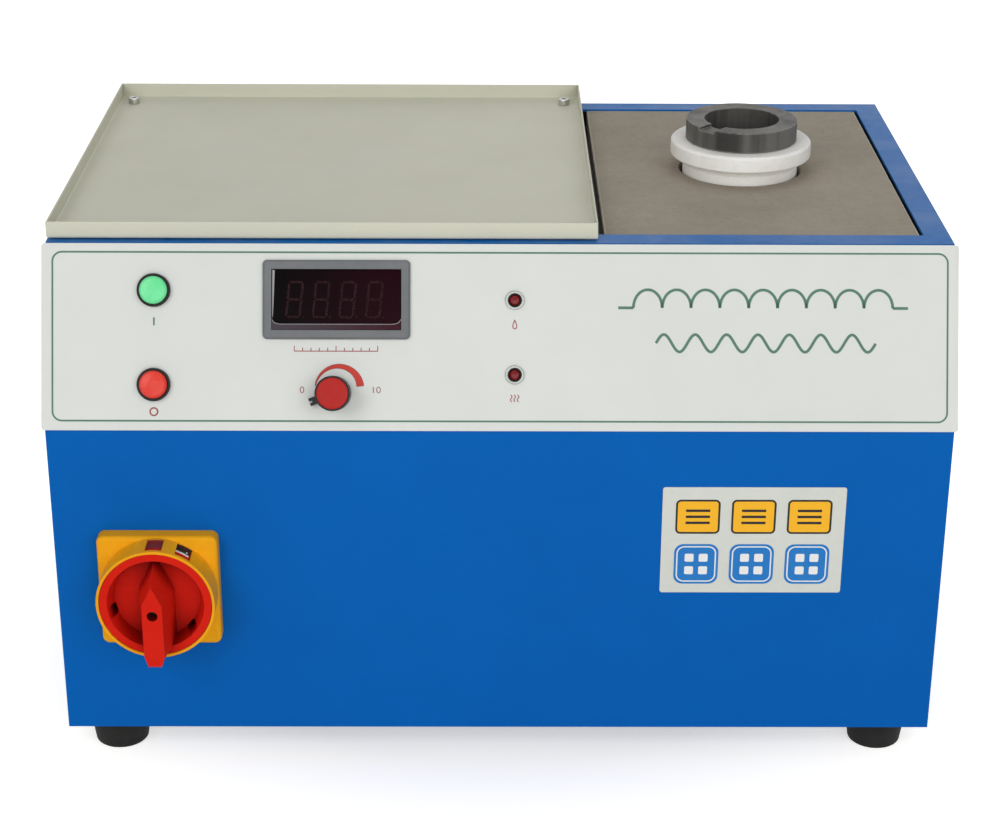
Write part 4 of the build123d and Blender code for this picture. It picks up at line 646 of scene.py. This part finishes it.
for name, *look in (
    ("green_ink", (84, 122, 104)),
    ("red_ink", (196, 58, 46)),
    ("maroon_ink", (150, 72, 72)),
    # A dark maroon used as painted shade, not as print: on the handle's rim and a window face of the isolator.
    ("maroon_shade", (122, 40, 42)),
    ("black_ink", (30, 28, 26)),
    ("amber_ink", (244, 180, 30)),
    ("blue_ink", (24, 116, 190)),
    ("white_ink", (232, 232, 230)),
    ("unlit_segment", (32, 1, 8), 0.3, 1.08),
    # This light ink draws the mask's edge line and the painted glint on the window.
    ("mask_edge", (150, 148, 150), 0.3, 1.3),
):
    FINISHES[name] = printed_ink(name, *look)

for packed in frame["nodes"].values():
    for filled in packed.material_slots:
        filled.material = FINISHES[filled.material.name.split(".")[0]]
# The ledge under the board takes a dark finish as painted shade: seen from above it is the gap round the board.
for filled in frame["nodes"]["board_ledge"].material_slots:
    filled.material = FINISHES["blackened_steel"]

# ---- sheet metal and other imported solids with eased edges

for node in ("front_panel", "side_panel_left", "side_panel_right", "rear_panel"):
    eased(node, "blue_paint", 0.45)
for row in (
    ("base_pan", "blue_paint", 0.35),
    ("control_panel", "white_paint", 0.5),
    ("isolator_plate", "yellow_plastic", 0.45),
    ("isolator_handle", "red_plastic", 0.7, "red_plastic", 3),
    ("graphite_crucible", "graphite", 0.8),
    ("meter_case", "grey_plastic", 0.35),
    ("meter_window", "smoked_window", 0.6),
    ("button_housings", "black_plastic", 0.5),
    ("knob_body", "black_plastic", 0.4),
    ("label_plate", "white_plate", 0.15),
    ("fan_frame", "black_plastic", 0.4),
    ("fan_rotor", "black_plastic", 0.25),
    ("earth_stud", "brass", 0.2),
    ("fitting_nuts", "brass", 0.3),
    # The screw at the bottom of the handle's hole takes the dark steel as painted shade in the hole.
    ("isolator_screw", "steel", 0.2, "blackened_steel"),
    ("lamp_bezels", "aluminium", 0.45, "bezel_metal"),
    # The top panel takes the blue paint's copy with painted light on top.
    ("top_panel", "blue_paint", 0.45, "blue_top_paint"),
):
    eased(*row)

# ---- tool tray


def tray_wall(along, start, inwards, length):
    """One folded side of the tray: a bent-sheet section swept along it, mitred at its ends with a slit above the bend.

    Its middle bows inwards by a sine of the way along, most at its upper edge."""
    height = TRAY_Z[1] - TRAY_Z[0]
    slit_width, slit_foot, slit_rise, bow = 0.35, 1.6, 1.2, 0.12
    section = soften(
        [(TRAY_FOLD, TRAY_SHEET), (TRAY_SHEET, TRAY_SHEET, 0.9), (TRAY_SHEET, height, 0.45)]
        + [(0, height, 0.45), (0, 0, 1.7), (TRAY_FOLD, 0)],
        5,
    )
    run = section[:, 0] + slit_width * np.clip((section[:, 1] - slit_foot) / slit_rise, 0, 1)
    share = np.linspace(0, 1, 25)[:, None]
    place = run[None] + share * (length - 2 * run[None])
    sag = bow * np.sin(np.pi * share) * np.clip(section[None, :, 1] / height, 0, 1)
    depth = section[None, :, 0] + sag * (section[None, :, 1] > 2)
    points = np.array([*start, TRAY_Z[0]]) + place[..., None] * along + depth[..., None] * inwards
    points[..., 2] += section[None, :, 1]
    return grid_shell(points * MM)


# The walls run round the tray anticlockwise: each inward direction is the next wall's own.
tray_size = (TRAY_X[1] - TRAY_X[0], TRAY_Y[1] - TRAY_Y[0])
ways = np.array([(1, 0, 0), (0, 1, 0), (-1, 0, 0), (0, -1, 0)], float)
starts = [(TRAY_X[i], TRAY_Y[j]) for i, j in ((0, 0), (1, 0), (1, 1), (0, 1))]
tray_walls = [tray_wall(ways[k], starts[k], ways[(k + 1) % 4], tray_size[k % 2]) for k in range(4)]
tray_middle = at(FLOOR, sum(TRAY_X) / 2, sum(TRAY_Y) / 2, TRAY_Z[0])
floor_profile = np.array([(0.0, 0.0), (0.0, TRAY_SHEET)])
tray_floor = moulding(tray_middle, floor_profile, *[size / 2 - TRAY_FOLD for size in tray_size], 0.01, steps=1)
piece("tray_sheet", [*tray_walls, tray_floor], "ivory_paint", ("tool_tray",), crease=50)


def hexagon(angle, flats):
    """Radius of a hexagon at an angle: (flats / 2) / cos(a folded into 60 degrees)."""
    return flats / 2 / np.cos((angle + np.pi / 6) % (np.pi / 3) - np.pi / 6)


def cap_screw_form(angle, radius, height):
    """Knurls the head's flank and pulls its round socket in to a hexagon 3 mm across flats."""
    knurl = np.where((radius > 3.4) & (height > 0.6) & (height < 3.5), 0.07 * np.cos(26 * angle), 0.0)
    return knurl + np.where((radius < 1.7) & (height < 3.71), hexagon(angle, 3.0) - radius, 0.0)


cap_screw_profile = soften(
    [(2.0, -9.0), (2.0, 0.0), (3.3, 0.0, 0.25), (3.5, 0.5, 0.1), (3.5, 4.0, 0.45), (1.9, 4.0, 0.1)]
    + [(1.6, 3.7), (1.6, 2.0)]
)
cap_screws = [
    turned(at(FLOOR, x, y, TRAY_Z[0] + TRAY_SHEET), cap_screw_profile, 26, form=cap_screw_form) for x, y in TRAY_SCREWS
]
piece("tray_cap_screws", cap_screws, "stainless", ("tray_screws",))
pad_profile = soften(
    [(2.2, BOX_TOP), (7.0, BOX_TOP, 0.15), (7.0, TRAY_Z[0], 0.15), (2.2, TRAY_Z[0]), (2.2, BOX_TOP)]
)
piece("tray_pads", [turned(at(FLOOR, x, y), pad_profile, closed=True) for x, y in TRAY_SCREWS], "rubber")

# ---- heat-resistant board


def board_grid():
    """The board as a ring: rows run from its hole to its outer edge, columns round the melt centre.

    The outer edge is the distance to the rectangle along each ray; both edges wander a little, as cut board does."""
    cx, cy = MELT_CENTRE
    bottom, top = BOARD_Z
    chamfer = 0.5
    corner_angles = np.array([np.arctan2(y - cy, x - cx) for y in BOARD_Y for x in BOARD_X]) % (2 * np.pi)
    angle = np.unique(np.concatenate([np.linspace(0, 2 * np.pi, 480, endpoint=False), corner_angles]))
    cos, sin = np.cos(angle), np.sin(angle)

    def rectangle(inset):
        """How far the inset edge is along each angle: the smaller of |side_x / cos| and |side_y / sin|."""
        side_x = np.where(cos > 0, BOARD_X[1] - inset - cx, BOARD_X[0] + inset - cx)
        side_y = np.where(sin > 0, BOARD_Y[1] - inset - cy, BOARD_Y[0] + inset - cy)
        with np.errstate(divide="ignore"):
            return np.minimum(np.abs(side_x / cos), np.abs(side_y / sin))

    rough = np.abs(ripple(angle, 0.0, 0.12, 3))
    hole = BOARD_HOLE_RADIUS + np.abs(ripple(angle, 0.0, 0.1, 4))
    rows = [(hole, bottom), (hole, top - chamfer), (hole + chamfer, top)]
    across = rectangle(chamfer) - rough - hole - chamfer
    rows += [(hole + chamfer + share * across, top) for share in (0.25, 0.5, 0.75, 1.0)]
    rows += [(rectangle(0) - rough, top - 0.45), (rectangle(0) - rough, bottom)]
    radius = np.stack([np.broadcast_to(r, angle.shape) for r, _ in rows])
    height = np.repeat(np.array([z for _, z in rows])[:, None], len(angle), axis=1)
    return np.stack([cx + radius * cos, cy + radius * sin, height], axis=2) * MM


piece("mineral_board", [grid_shell(board_grid(), closed=True)], "board", ("insulation_board",), crease=40)

# ---- ceramic jacket


def crumbled(angle, radius, height, seed, amount):
    """Lets a rim wander inwards by a ripple, and more in nicks, where a second ripple is high."""
    wander = ripple(angle, 0.6 * height, amount, seed)
    nick = np.clip(ripple(angle, height, 1.0, seed + 1) - 1.5, 0, 1) * amount * 2
    return -np.abs(wander) - nick


flange_profile = soften(
    [(29.6, SLEEVE_TOP), (39.9, SLEEVE_TOP, 0.4), (40.5, SLEEVE_TOP + 0.9, 0.6), (40.5, FLANGE_TOP - 1.1, 1.2)]
    + [(39.1, FLANGE_TOP, 0.8), (30.6, FLANGE_TOP, 0.6), (29.6, FLANGE_TOP - 0.9)],
    5,
)
sleeve_profile = soften(
    [(29.6, SLEEVE_TOP), (32.9, SLEEVE_TOP, 0.3), (32.9, SLEEVE_TOP - 4.7, 0.2), (33.2, SLEEVE_TOP - 5.3, 0.3)]
    + [(33.2, SLEEVE_BOTTOM, 1.0), (3.0, SLEEVE_BOTTOM), (3.0, SLEEVE_BOTTOM + 5)]
    + [(29.6, SLEEVE_BOTTOM + 5, 1.5), (29.6, SLEEVE_TOP)],
    5,
)
for name, profile, steps, seed, amount, stands_for in (
    ("ceramic_collar", flange_profile, 72, 11, 0.14, ("ceramic_flange",)),
    ("ceramic_tube", sleeve_profile, 60, 21, 0.06, ("ceramic_sleeve",)),
):
    shell = turned(MELT, profile, steps, closed=True, form=partial(crumbled, seed=seed, amount=amount))
    piece(name, [shell], "ceramic", stands_for, body="jacket", crease=40)

# ---- buttons, lamps, knob and meter

button_profile = soften(
    [(0, -5.7), (7.3, -5.7, 0.3), (7.3, 3.8, 0.3), (6.2, 5.2, 0.25), (3.0, 5.45, 2.0), (0, 5.5)], 5
)
for name, s, lens in (("start_button", BUTTON_START_S, "green_lens"), ("stop_button", BUTTON_STOP_S, "red_lens")):
    cap = turned(at(PANEL, BUTTON_X, s), button_profile, 20)
    piece(name + "_lens", [cap], lens, (name + "_cap",), body=name)


def faceted(angle, radius, height):
    """Eight shallow flutes on the lens, over all of its dome but the very middle."""
    return np.where((height > 0.4) & (radius > 0.3), -0.09 * (1 + np.cos(8 * angle)), 0.0)


dome_profile = soften([(0, -4), (2.8, -4), (2.8, 1.6, 0.6), (2.0, 2.4, 0.9), (0, 2.6)], 5)
rim_profile = soften(
    [(2.85, -4), (3.45, -4), (3.45, 1.9, 0.25), (3.1, 2.15, 0.2), (2.85, 1.8), (2.85, -4)]
)
lamps = [at(PANEL, LAMP_X, s) for s in LAMP_SPOTS]
piece("lamp_domes", [turned(lamp, dome_profile, form=faceted) for lamp in lamps], "lamp_lens", ("lamp_lenses",))
piece("lamp_rims", [turned(lamp, rim_profile, 24, closed=True) for lamp in lamps], "black_plastic")

disc_profile = soften(
    [(0, 15.0), (8.25, 15.0, 0.1), (8.25, 16.1, 0.35), (7.6, 16.25, 0.2), (6.8, 16.15, 0.5), (0, 16.38)]
)
disc = turned(at(PANEL, *KNOB), disc_profile, 20)
piece("knob_disc", [disc], "red_plastic", ("knob_cap",), "knob_red", "power_knob")

WINDOW_HALF = (34.0, 15.9)
MASK_HEIGHT, MASK_CORNER, MASK_CORNER_RISE = 3.1, 5.0, 2.6
mask_x = np.linspace(-WINDOW_HALF[0], WINDOW_HALF[0], 61)
from_side = np.clip((WINDOW_HALF[0] - np.abs(mask_x)) / MASK_CORNER, 0, 1)
mask_top = -WINDOW_HALF[1] + MASK_HEIGHT + MASK_CORNER_RISE * (1 - np.sqrt(1 - (1 - from_side) ** 2))
mask_line = np.c_[mask_x, mask_top]
mask_foot = np.c_[mask_x, np.full(61, -WINDOW_HALF[1])]
piece("meter_mask", [strip(METER_FACE, mask_line, mask_foot, 0.12)], "grey_plastic", finish="meter_mask")
# Painted highlight: a thin light strip down the window's left edge, widening upwards, where the acrylic's bevel catches
# the light.
glint_up = np.linspace(-9.5, WINDOW_HALF[1] - 0.4, 21)
glint_width = 0.15 + 1.1 * np.linspace(0, 1, 21) ** 0.7
glint_left = np.c_[np.full(21, 0.35 - WINDOW_HALF[0]), glint_up]
glint_right = glint_left + np.c_[glint_width, np.zeros(21)]
mask_line_and_glint = [
    stroke(METER_FACE, mask_line - [0.0, 0.15], 0.3, 0.16),
    strip(METER_FACE, glint_right, glint_left, 0.14),
]
piece("meter_mask_edge_and_glint", mask_line_and_glint, "grey_plastic", finish="mask_edge")


def digit(x):
    """Seven unlit segments and a point, leaning to the right by a tenth of their height."""
    w, h, gap, shrunk, lean = 3.6, 5.6, 0.45, (0.98, 0.82), 0.1
    lines = [((-w, 0), (w, 0)), ((-w, 2 * h), (w, 2 * h)), ((-w, -2 * h), (w, -2 * h))]
    lines += [((side * w, way * gap), (side * w, way * 2 * h - way * gap)) for side in (-1, 1) for way in (-1, 1)]
    lines += [((w + 1.6, -2 * h), (w + 2.4, -2 * h))]
    shells = []
    for (x0, y0), (x1, y1) in lines:
        shrink = gap if y0 == y1 and x1 < w + 1 else 0.0
        ends = np.array([(x0 + shrink, y0), (x1 - shrink, y1)]) * shrunk
        ends[:, 0] += x + lean * ends[:, 1]
        shells.append(stroke(METER_FACE, ends, 1.25, 0.03))
    return shells


digits = [shell for x in (-22.0, -8.0, 6.0, 20.0) for shell in digit(x)]
piece("unlit_digits", digits, "smoked_window", finish="unlit_segment")

# ---- printing on the panel

border = frame_line(at(PANEL, 0.0, 49.55), 236.0, 44.45, 5.0, 0.95, steps=10)
piece("panel_border", [border], "circuit_green", finish="green_ink")

dial = arc_line((0.0, 0.0), 1.0, -83, 83, 49)
dial_width = 0.25 + 3.6 * np.linspace(0, 1, 49)[:, None] ** 0.8
dial_outer = np.array(DIAL_CENTRE) + DIAL_RADIUS * dial
dial_inner = np.array(DIAL_CENTRE) + (DIAL_RADIUS - dial_width) * dial
piece("power_wedge", [strip(PANEL, dial_outer, dial_inner)], "red_lens", finish="red_ink")
wedge_line = np.vstack([dial_outer, dial_inner[::-1]])
piece("power_wedge_line", [stroke(PANEL, wedge_line, 0.3, 0.08, closed=True)], "red_lens", finish="maroon_ink")


def ring_mark(x, s, radius_x, radius_s, width):
    """A drawn oval: x + radius_x cos t, s + radius_s sin t."""
    turn = np.linspace(0, 2 * np.pi, 40, endpoint=False)
    line = np.c_[x + radius_x * np.cos(turn), s + radius_s * np.sin(turn)]
    return stroke(PANEL, line, width, closed=True)


def bar_mark(x, s, half_width, half_height, width):
    """A drawn straight bar, between its two ends."""
    return stroke(PANEL, [(x - half_width, s - half_height), (x + half_width, s + half_height)], width)


def wave_mark(start, end, s, height, waves, width):
    """A drawn sine wave: s + height x the sine of its share of the way x its waves."""
    x = np.linspace(start, end, 24 * waves + 1)
    line = np.c_[x, s + height * np.sin(2 * np.pi * waves * (x - start) / (end - start))]
    return stroke(PANEL, line, width)


def coil_mark(start, end, s, radius_s, turns, width):
    """The drawing of a coil: a row of humps between straight leads.

    On a hump x moves on by half a pitch x (1 - cos) while s rises and falls by radius_s x sin."""
    turn = np.linspace(0, np.pi, 15)
    lead = 8.0
    level = s - radius_s / 2
    pitch = (end - start - 2 * lead) / turns
    humps = [
        np.c_[start + lead + pitch * (k + 0.5 - 0.5 * np.cos(turn)), level + radius_s * np.sin(turn)]
        for k in range(turns)
    ]
    leads = [[(start, level), (start + lead, level)], [(end - lead, level), (end, level)]]
    return [stroke(PANEL, line, width) for line in humps + leads]


green_marks = [
    bar_mark(BUTTON_X, 57.5, 0, 2.1, 0.9),
    *coil_mark(62.0, 215.0, 70.0, 9.6, 9, 1.5),
    wave_mark(82.0, 198.0, 46.6, 4.6, 7, 1.5),
]
piece("green_marks", green_marks, "circuit_green", finish="green_ink")

drop_turn = np.linspace(0, 2 * np.pi, 33)[:-1]
drop_x = LAMP_X + 1.5 * np.sin(drop_turn) * np.sin(drop_turn / 2) ** 1.5
drop = np.c_[drop_x, 56.3 + 2.3 * np.cos(drop_turn)]
flame_turn = np.linspace(-1.2, 1.2, 13)
flames = [
    np.c_[LAMP_X + shift + 0.45 * np.sin(3.2 * flame_turn), 17.3 + 1.9 * flame_turn / 1.2]
    for shift in (-1.8, 0.0, 1.8)
]
SCALE_X, SCALE_S, SCALE_PITCH = -86.7, 42.0, 4.4
# Every fifth mark of the scale, counted from its middle, is a long one.
scale_marks = [
    bar_mark(SCALE_X + SCALE_PITCH * k, SCALE_S + (0.9 if k % 5 else 1.4), 0, 0.9 if k % 5 else 1.4, 0.45)
    for k in range(-5, 6)
]
maroon_marks = [
    ring_mark(BUTTON_X, 9.9, 2.0, 2.0, 0.8),
    bar_mark(SCALE_X, SCALE_S, 5 * SCALE_PITCH, 0.0, 0.5),
    *scale_marks,
    stroke(PANEL, drop, 0.5, closed=True),
    *[stroke(PANEL, flame, 0.5) for flame in flames],
    ring_mark(-104.6, 21.6, 0.95, 1.5, 0.45),
    bar_mark(-67.0, 21.6, 0, 1.6, 0.5),
    ring_mark(-64.3, 21.6, 0.95, 1.5, 0.45),
]
piece("maroon_marks", maroon_marks, "red_lens", finish="maroon_ink")

# ---- blank plate's coloured fields

FIELD_X, FIELD_Y = (-30.0, 0.0, 30.0), 14.2
RULE_FILM = 0.08


def field(x, y, half_width, half_height, corner, height=0.05):
    """A printed rounded field on the plate."""
    profile = np.array([(0.0, -PRINT_FILM / 2), (0.0, height)])
    return moulding(at(PLATE, x, y), profile, half_width, half_height, corner)


piece("amber_fields", [field(x, FIELD_Y, 11.4, 9.6, 2.2) for x in FIELD_X], "yellow_plastic", finish="amber_ink")
black_rules = [frame_line(at(PLATE, x, FIELD_Y), 11.4, 9.6, 2.2, 1.1, RULE_FILM) for x in FIELD_X]
black_rules += [
    stroke(PLATE, [(x - 6.5, FIELD_Y + dy), (x + 6.5, FIELD_Y + dy)], 1.5, RULE_FILM)
    for x in FIELD_X
    for dy in (-3.6, 0.0, 3.6)
]
piece("black_rules", black_rules, "black_plastic", finish="black_ink")
piece("blue_fields", [field(x, -FIELD_Y, 12.0, 12.0, 5.0) for x in FIELD_X], "capacitor_blue", finish="blue_ink")
white_rules = [frame_line(at(PLATE, x, -FIELD_Y), 10.4, 10.4, 4.0, 0.7, RULE_FILM) for x in FIELD_X]
white_rules += [
    field(x + dx, -FIELD_Y + dy, 2.4, 2.4, 0.8, RULE_FILM) for x in FIELD_X for dx in (-3.8, 3.8) for dy in (-3.8, 3.8)
]
piece("white_rules", white_rules, "white_plate", finish="white_ink")

# ---- bead that closes the gap under the panel

bead_profile = soften(
    [(-154.7, 199.9), (-153.9, 199.9), (-153.9, 200.95), (-154.7, 200.95, 0.3), (-154.7, 199.9)], 3
)
bead = np.stack([np.column_stack([np.full(len(bead_profile), x), bead_profile]) for x in (-HALF_WIDTH, HALF_WIDTH)])
piece("panel_bead", [grid_shell(bead * MM)], "blue_paint")

# ---- isolator's position flag, with painted shadow and shade in its windows

FLAG_RADIUS = 30.12


def flag_patch(first, last, front, back, height):
    """A patch on the handle's rim, a film thick, for print and for painted shadow: the arc between two clock angles at
    two depths.
    """
    rings = []
    for radius, depth in ((-0.1, back), (height, back), (height, front), (-0.1, front)):
        x, z = arc_line(ISOLATOR, FLAG_RADIUS + radius, first, last, 9).T
        rings.append(np.c_[x, np.full_like(x, FRONT_Y - depth), z])
    return grid_shell(np.stack(rings, axis=1) * MM)


# The maroon patch is a painted shadow on the red rim in the window at the top; the black and white patches are the
# printed position flag.
for name, slot, finish, *patches in (
    ("flag_maroon", "red_plastic", "maroon_shade", (-8.5, 8.5, 17.0, 10.2, 0.04)),
    ("flag_black", "black_plastic", "black_ink", (20.6, 37.4, 14.9, 10.2, 0.04)),
    ("flag_white", "white_plate", "white_ink", (21.8, 36.2, 16.4, 14.7, 0.06), (32.6, 34.4, 13.6, 12.2, 0.06)),
):
    piece(name, [flag_patch(*patch) for patch in patches], slot, finish=finish, body="isolator_rotor")

# Painted shade: dark strips on the back faces of the collar's two windows, where they lie in shade.
for name, slot, finish, middle in (
    ("window_back_left", "red_plastic", "maroon_shade", 0.0),
    ("window_back_right", "black_plastic", "black_ink", 29.5),
):
    sides = [arc_line(ISOLATOR, radius, middle - 8.2, middle + 8.2) for radius in (31.6, 30.35)]
    piece(name, [strip(at(FRONT, 0, 0, 10.0), *sides, 0.05)], slot, finish=finish)

# ---- feet

foot_profile = soften(
    [(2.7, 20.0), (17.5, 20.0, 0.6), (17.4, 17.4, 0.3), (17.0, 17.1, 0.2), (14.6, 0.0, 1.6), (11.0, 0.0, 0.3)]
    + [(10.7, 0.7, 0.3), (5.6, 0.7, 0.4), (5.4, 4.0), (2.7, 4.0), (2.7, 20.0)],
    5,
)


def ribbed(angle, radius, height):
    """Shallow moulded ribs on the foot's flank."""
    return np.where((height > 2.5) & (height < 16.5) & (radius > 13), 0.12 * np.cos(36 * angle), 0.0)


feet = [turned(at(FLOOR, x, y), foot_profile, 36, closed=True, form=ribbed) for x, y in FEET]
piece("moulded_feet", feet, "rubber", ("rubber_feet",))

# ---- rear fittings


def hexagon_body(angle, radius, height, flats, high):
    """Cuts a round collar to a hexagon below a height: the smaller of its radius and the hexagon's."""
    cut = np.minimum(hexagon(angle, flats) - radius, 0.0)
    return np.where((height > -0.1) & (height < high), cut, 0.0)


barbs = [
    row for k in range(4) for row in ((5.15, 17.2 + 5 * k, 0.15), (5.1, 17.9 + 5 * k, 0.1), (4.35, 21.7 + 5 * k, 0.1))
]
nipple_profile = soften(
    [(3.0, -22.5), (4.0, -22.5, 0.3), (4.0, -6.5), (6.45, -6.5, 0.4), (6.45, 0.0), (9.3, 0.0, 0.1)]
    + [(9.8, 0.6, 0.1), (9.8, 10.6, 0.2), (8.6, 11.5, 0.2), (5.2, 11.5, 0.4), (4.4, 13.0, 0.3), (4.4, 17.0, 0.1)]
    + [*barbs[:-1], (4.0, 37.5, 0.5), (3.0, 37.5, 0.3), (3.0, -22.5)],
    3,
)
nipple_form = partial(hexagon_body, flats=17.0, high=11.49)
nipples = [
    turned(at(REAR, across, REAR_FITTING_Z), nipple_profile, 18, closed=True, form=nipple_form)
    for across in NIPPLES_ACROSS
]
piece("barbed_nipples", nipples, "brass", ("water_nipples",))

gland_profile = soften(
    [(5.5, -11.5), (9.45, -11.5, 0.5), (9.45, 0.0), (13.2, 0.0, 0.2), (13.8, 0.7, 0.2), (13.8, 7.3, 0.3)]
    + [(13.0, 8.0, 0.2), (11.0, 8.0, 0.1), (11.0, 9.2, 0.2), (11.4, 9.4, 0.3), (11.4, 19.5, 0.5), (10.4, 23.4, 2.0)]
    + [(8.4, 26.0, 1.4), (5.5, 26.0, 0.6), (5.5, -11.5)]
)


def ribbed_gland(angle, radius, height):
    """A hexagon foot, and twelve grip flutes on the cap nut above it."""
    flutes = -0.45 * np.clip(np.cos(12 * angle), 0, 1) ** 0.5 * np.clip((height - 9.3) * (20.5 - height), 0, 1)
    return hexagon_body(angle, radius, height, 24.0, 8.01) + np.where(radius > 10.5, flutes, 0.0)


gland = turned(at(REAR, GLAND_ACROSS, REAR_FITTING_Z), gland_profile, 36, closed=True, form=ribbed_gland)
piece("ribbed_gland", [gland], "black_plastic", ("cable_gland",))


def cross_recess(angle, radius, height):
    """Sinks a pan head by up to 1.25 mm where |x| or |y| is small, within 1.9 mm of its middle."""
    nearest = np.minimum(np.abs(radius * np.cos(angle)), np.abs(radius * np.sin(angle)))
    return np.where((height > 1.0) & (radius < 1.9), -1.25 * np.clip((0.62 - nearest) / 0.2, 0, 1), 0.0)


def pan_screw(across, up, out, length):
    """A pan-head screw: z = 2.4 - 0.045 r^2 over its head, with a cross recess, and a plain shank into the sheet."""
    reach = np.array([0.0, 0.35, 0.7, 1.05, 1.4, 1.75, 1.89, 2.1, 2.5, 2.9, 3.3, 3.6])
    head = np.c_[reach, 2.4 - 0.045 * reach**2]
    edge = [(3.8, 1.5), (3.8, 0.3), (3.6, 0.0), (2.0, 0.0), (2.0, -length)]
    return turned(at(REAR, across, up, out), np.vstack([head, edge])[::-1], 12, lift=cross_recess)


corner_screws = [pan_screw(side * x, z, 0.0, 9.5) for side in (-1, 1) for x in (232.0, 78.0) for z in (28.0, 282.5)]
fan_screws = [
    pan_screw(FAN_CENTRE[0] + i * FAN_SCREW_REACH, FAN_CENTRE[1] + j * FAN_SCREW_REACH, 1.2, 27.7)
    for i in (-1, 1)
    for j in (-1, 1)
]
piece("pan_head_screws", corner_screws + fan_screws, "steel", ("rear_screws",))

# ---- floor, light and camera

bpy.ops.mesh.primitive_plane_add(size=12.0, location=(0.0, 0.0, 0.0))
floor = bpy.context.object
floor.name = "studio_floor"
# The paper glows only for the eye, faintly near the object, so that its shadow shows, and fully further out.
paper = Finish("studio_paper")
reach = paper.operation("VectorMath", "LENGTH", (paper.place(),)).outputs["Value"]
near, far = paper.spread(reach, 0.16, 0.34, 0.47, 0.76), paper.spread(reach, 0.34, 1.0, 0.0, 0.1)
strength = paper.times(paper.seen_by("Is Camera Ray", "Is Glossy Ray"), paper.plus(near, far))
glow = paper.node("Emission", Color=(1.0, 0.99, 0.965, 1.0), Strength=strength)
both = paper.node("AddShader")
paper.fill(both.inputs[0], paper.shader.outputs[0])
paper.fill(both.inputs[1], glow.outputs[0])
paper.fill(paper.output.inputs["Surface"], both.outputs[0])
floor.data.materials.append(paper.done((0.80, 0.79, 0.77, 1.0), 0.9, Specular_IOR_Level=0.0))

world = bpy.data.worlds.new("studio")
scene.world = world
world.use_nodes = True
sky = Graph(world.node_tree)
sky.tree.nodes.clear()
seen = sky.seen_by("Is Camera Ray", "Is Transmission Ray", "Is Glossy Ray")
ambient = 0.32
backdrop = sky.node("Background", Color=(1.0,) * 4, Strength=sky.plus(ambient, sky.times(seen, 1.0 - ambient)))
sky.node("OutputWorld", Surface=backdrop.outputs[0])


def soft_box(name, place, size, power, glare=True):
    """A square area light looking at the object's middle; without glare it doesn't show in glossy surfaces."""
    lamp = bpy.data.lights.new(name, "AREA")
    lamp.shape, lamp.size, lamp.energy = "SQUARE", size, power
    made = bpy.data.objects.new(name, lamp)
    made.location = place
    made.rotation_euler = (Vector((0.0, 0.0, 0.2)) - Vector(place)).to_track_quat("-Z", "Y").to_euler()
    made.visible_glossy = glare
    scene.collection.objects.link(made)


soft_box("key", (-1.2, -1.9, 1.5), 1.2, 17.5)
soft_box("fill", (1.3, -1.9, 1.3), 1.3, 13.0)
soft_box("front", (0.1, -2.3, 0.6), 1.3, 12.0)
soft_box("top", (0.1, 0.5, 2.1), 1.2, 4.5)
soft_box("rear", (0.4, 2.2, 1.1), 1.3, 7.5, glare=False)

CAMERA_PLACE = (-0.00869, -1.25384, 0.68840)
PITCH, YAW, ROLL = np.radians(23.50), 0.0077, 0.0052
LENS, SENSOR = 82.02, 36.0
forward = np.array([np.sin(YAW) * np.cos(PITCH), np.cos(YAW) * np.cos(PITCH), -np.sin(PITCH)])
level = np.array([np.cos(YAW), -np.sin(YAW), 0.0])
upright = np.cross(level, forward)
right = level * np.cos(ROLL) + upright * np.sin(ROLL)
up = -level * np.sin(ROLL) + upright * np.cos(ROLL)
lens = bpy.data.cameras.new("camera")
lens.lens, lens.sensor_width, lens.sensor_fit = LENS, SENSOR, "HORIZONTAL"
lens.clip_start, lens.clip_end = 0.05, 40.0
camera = bpy.data.objects.new("camera", lens)
turn = Matrix(np.c_[right, up, -forward].tolist())
camera.matrix_world = Matrix.Translation(CAMERA_PLACE) @ turn.to_4x4()
scene.collection.objects.link(camera)
scene.camera = camera
scene.view_settings.view_transform = "Standard"
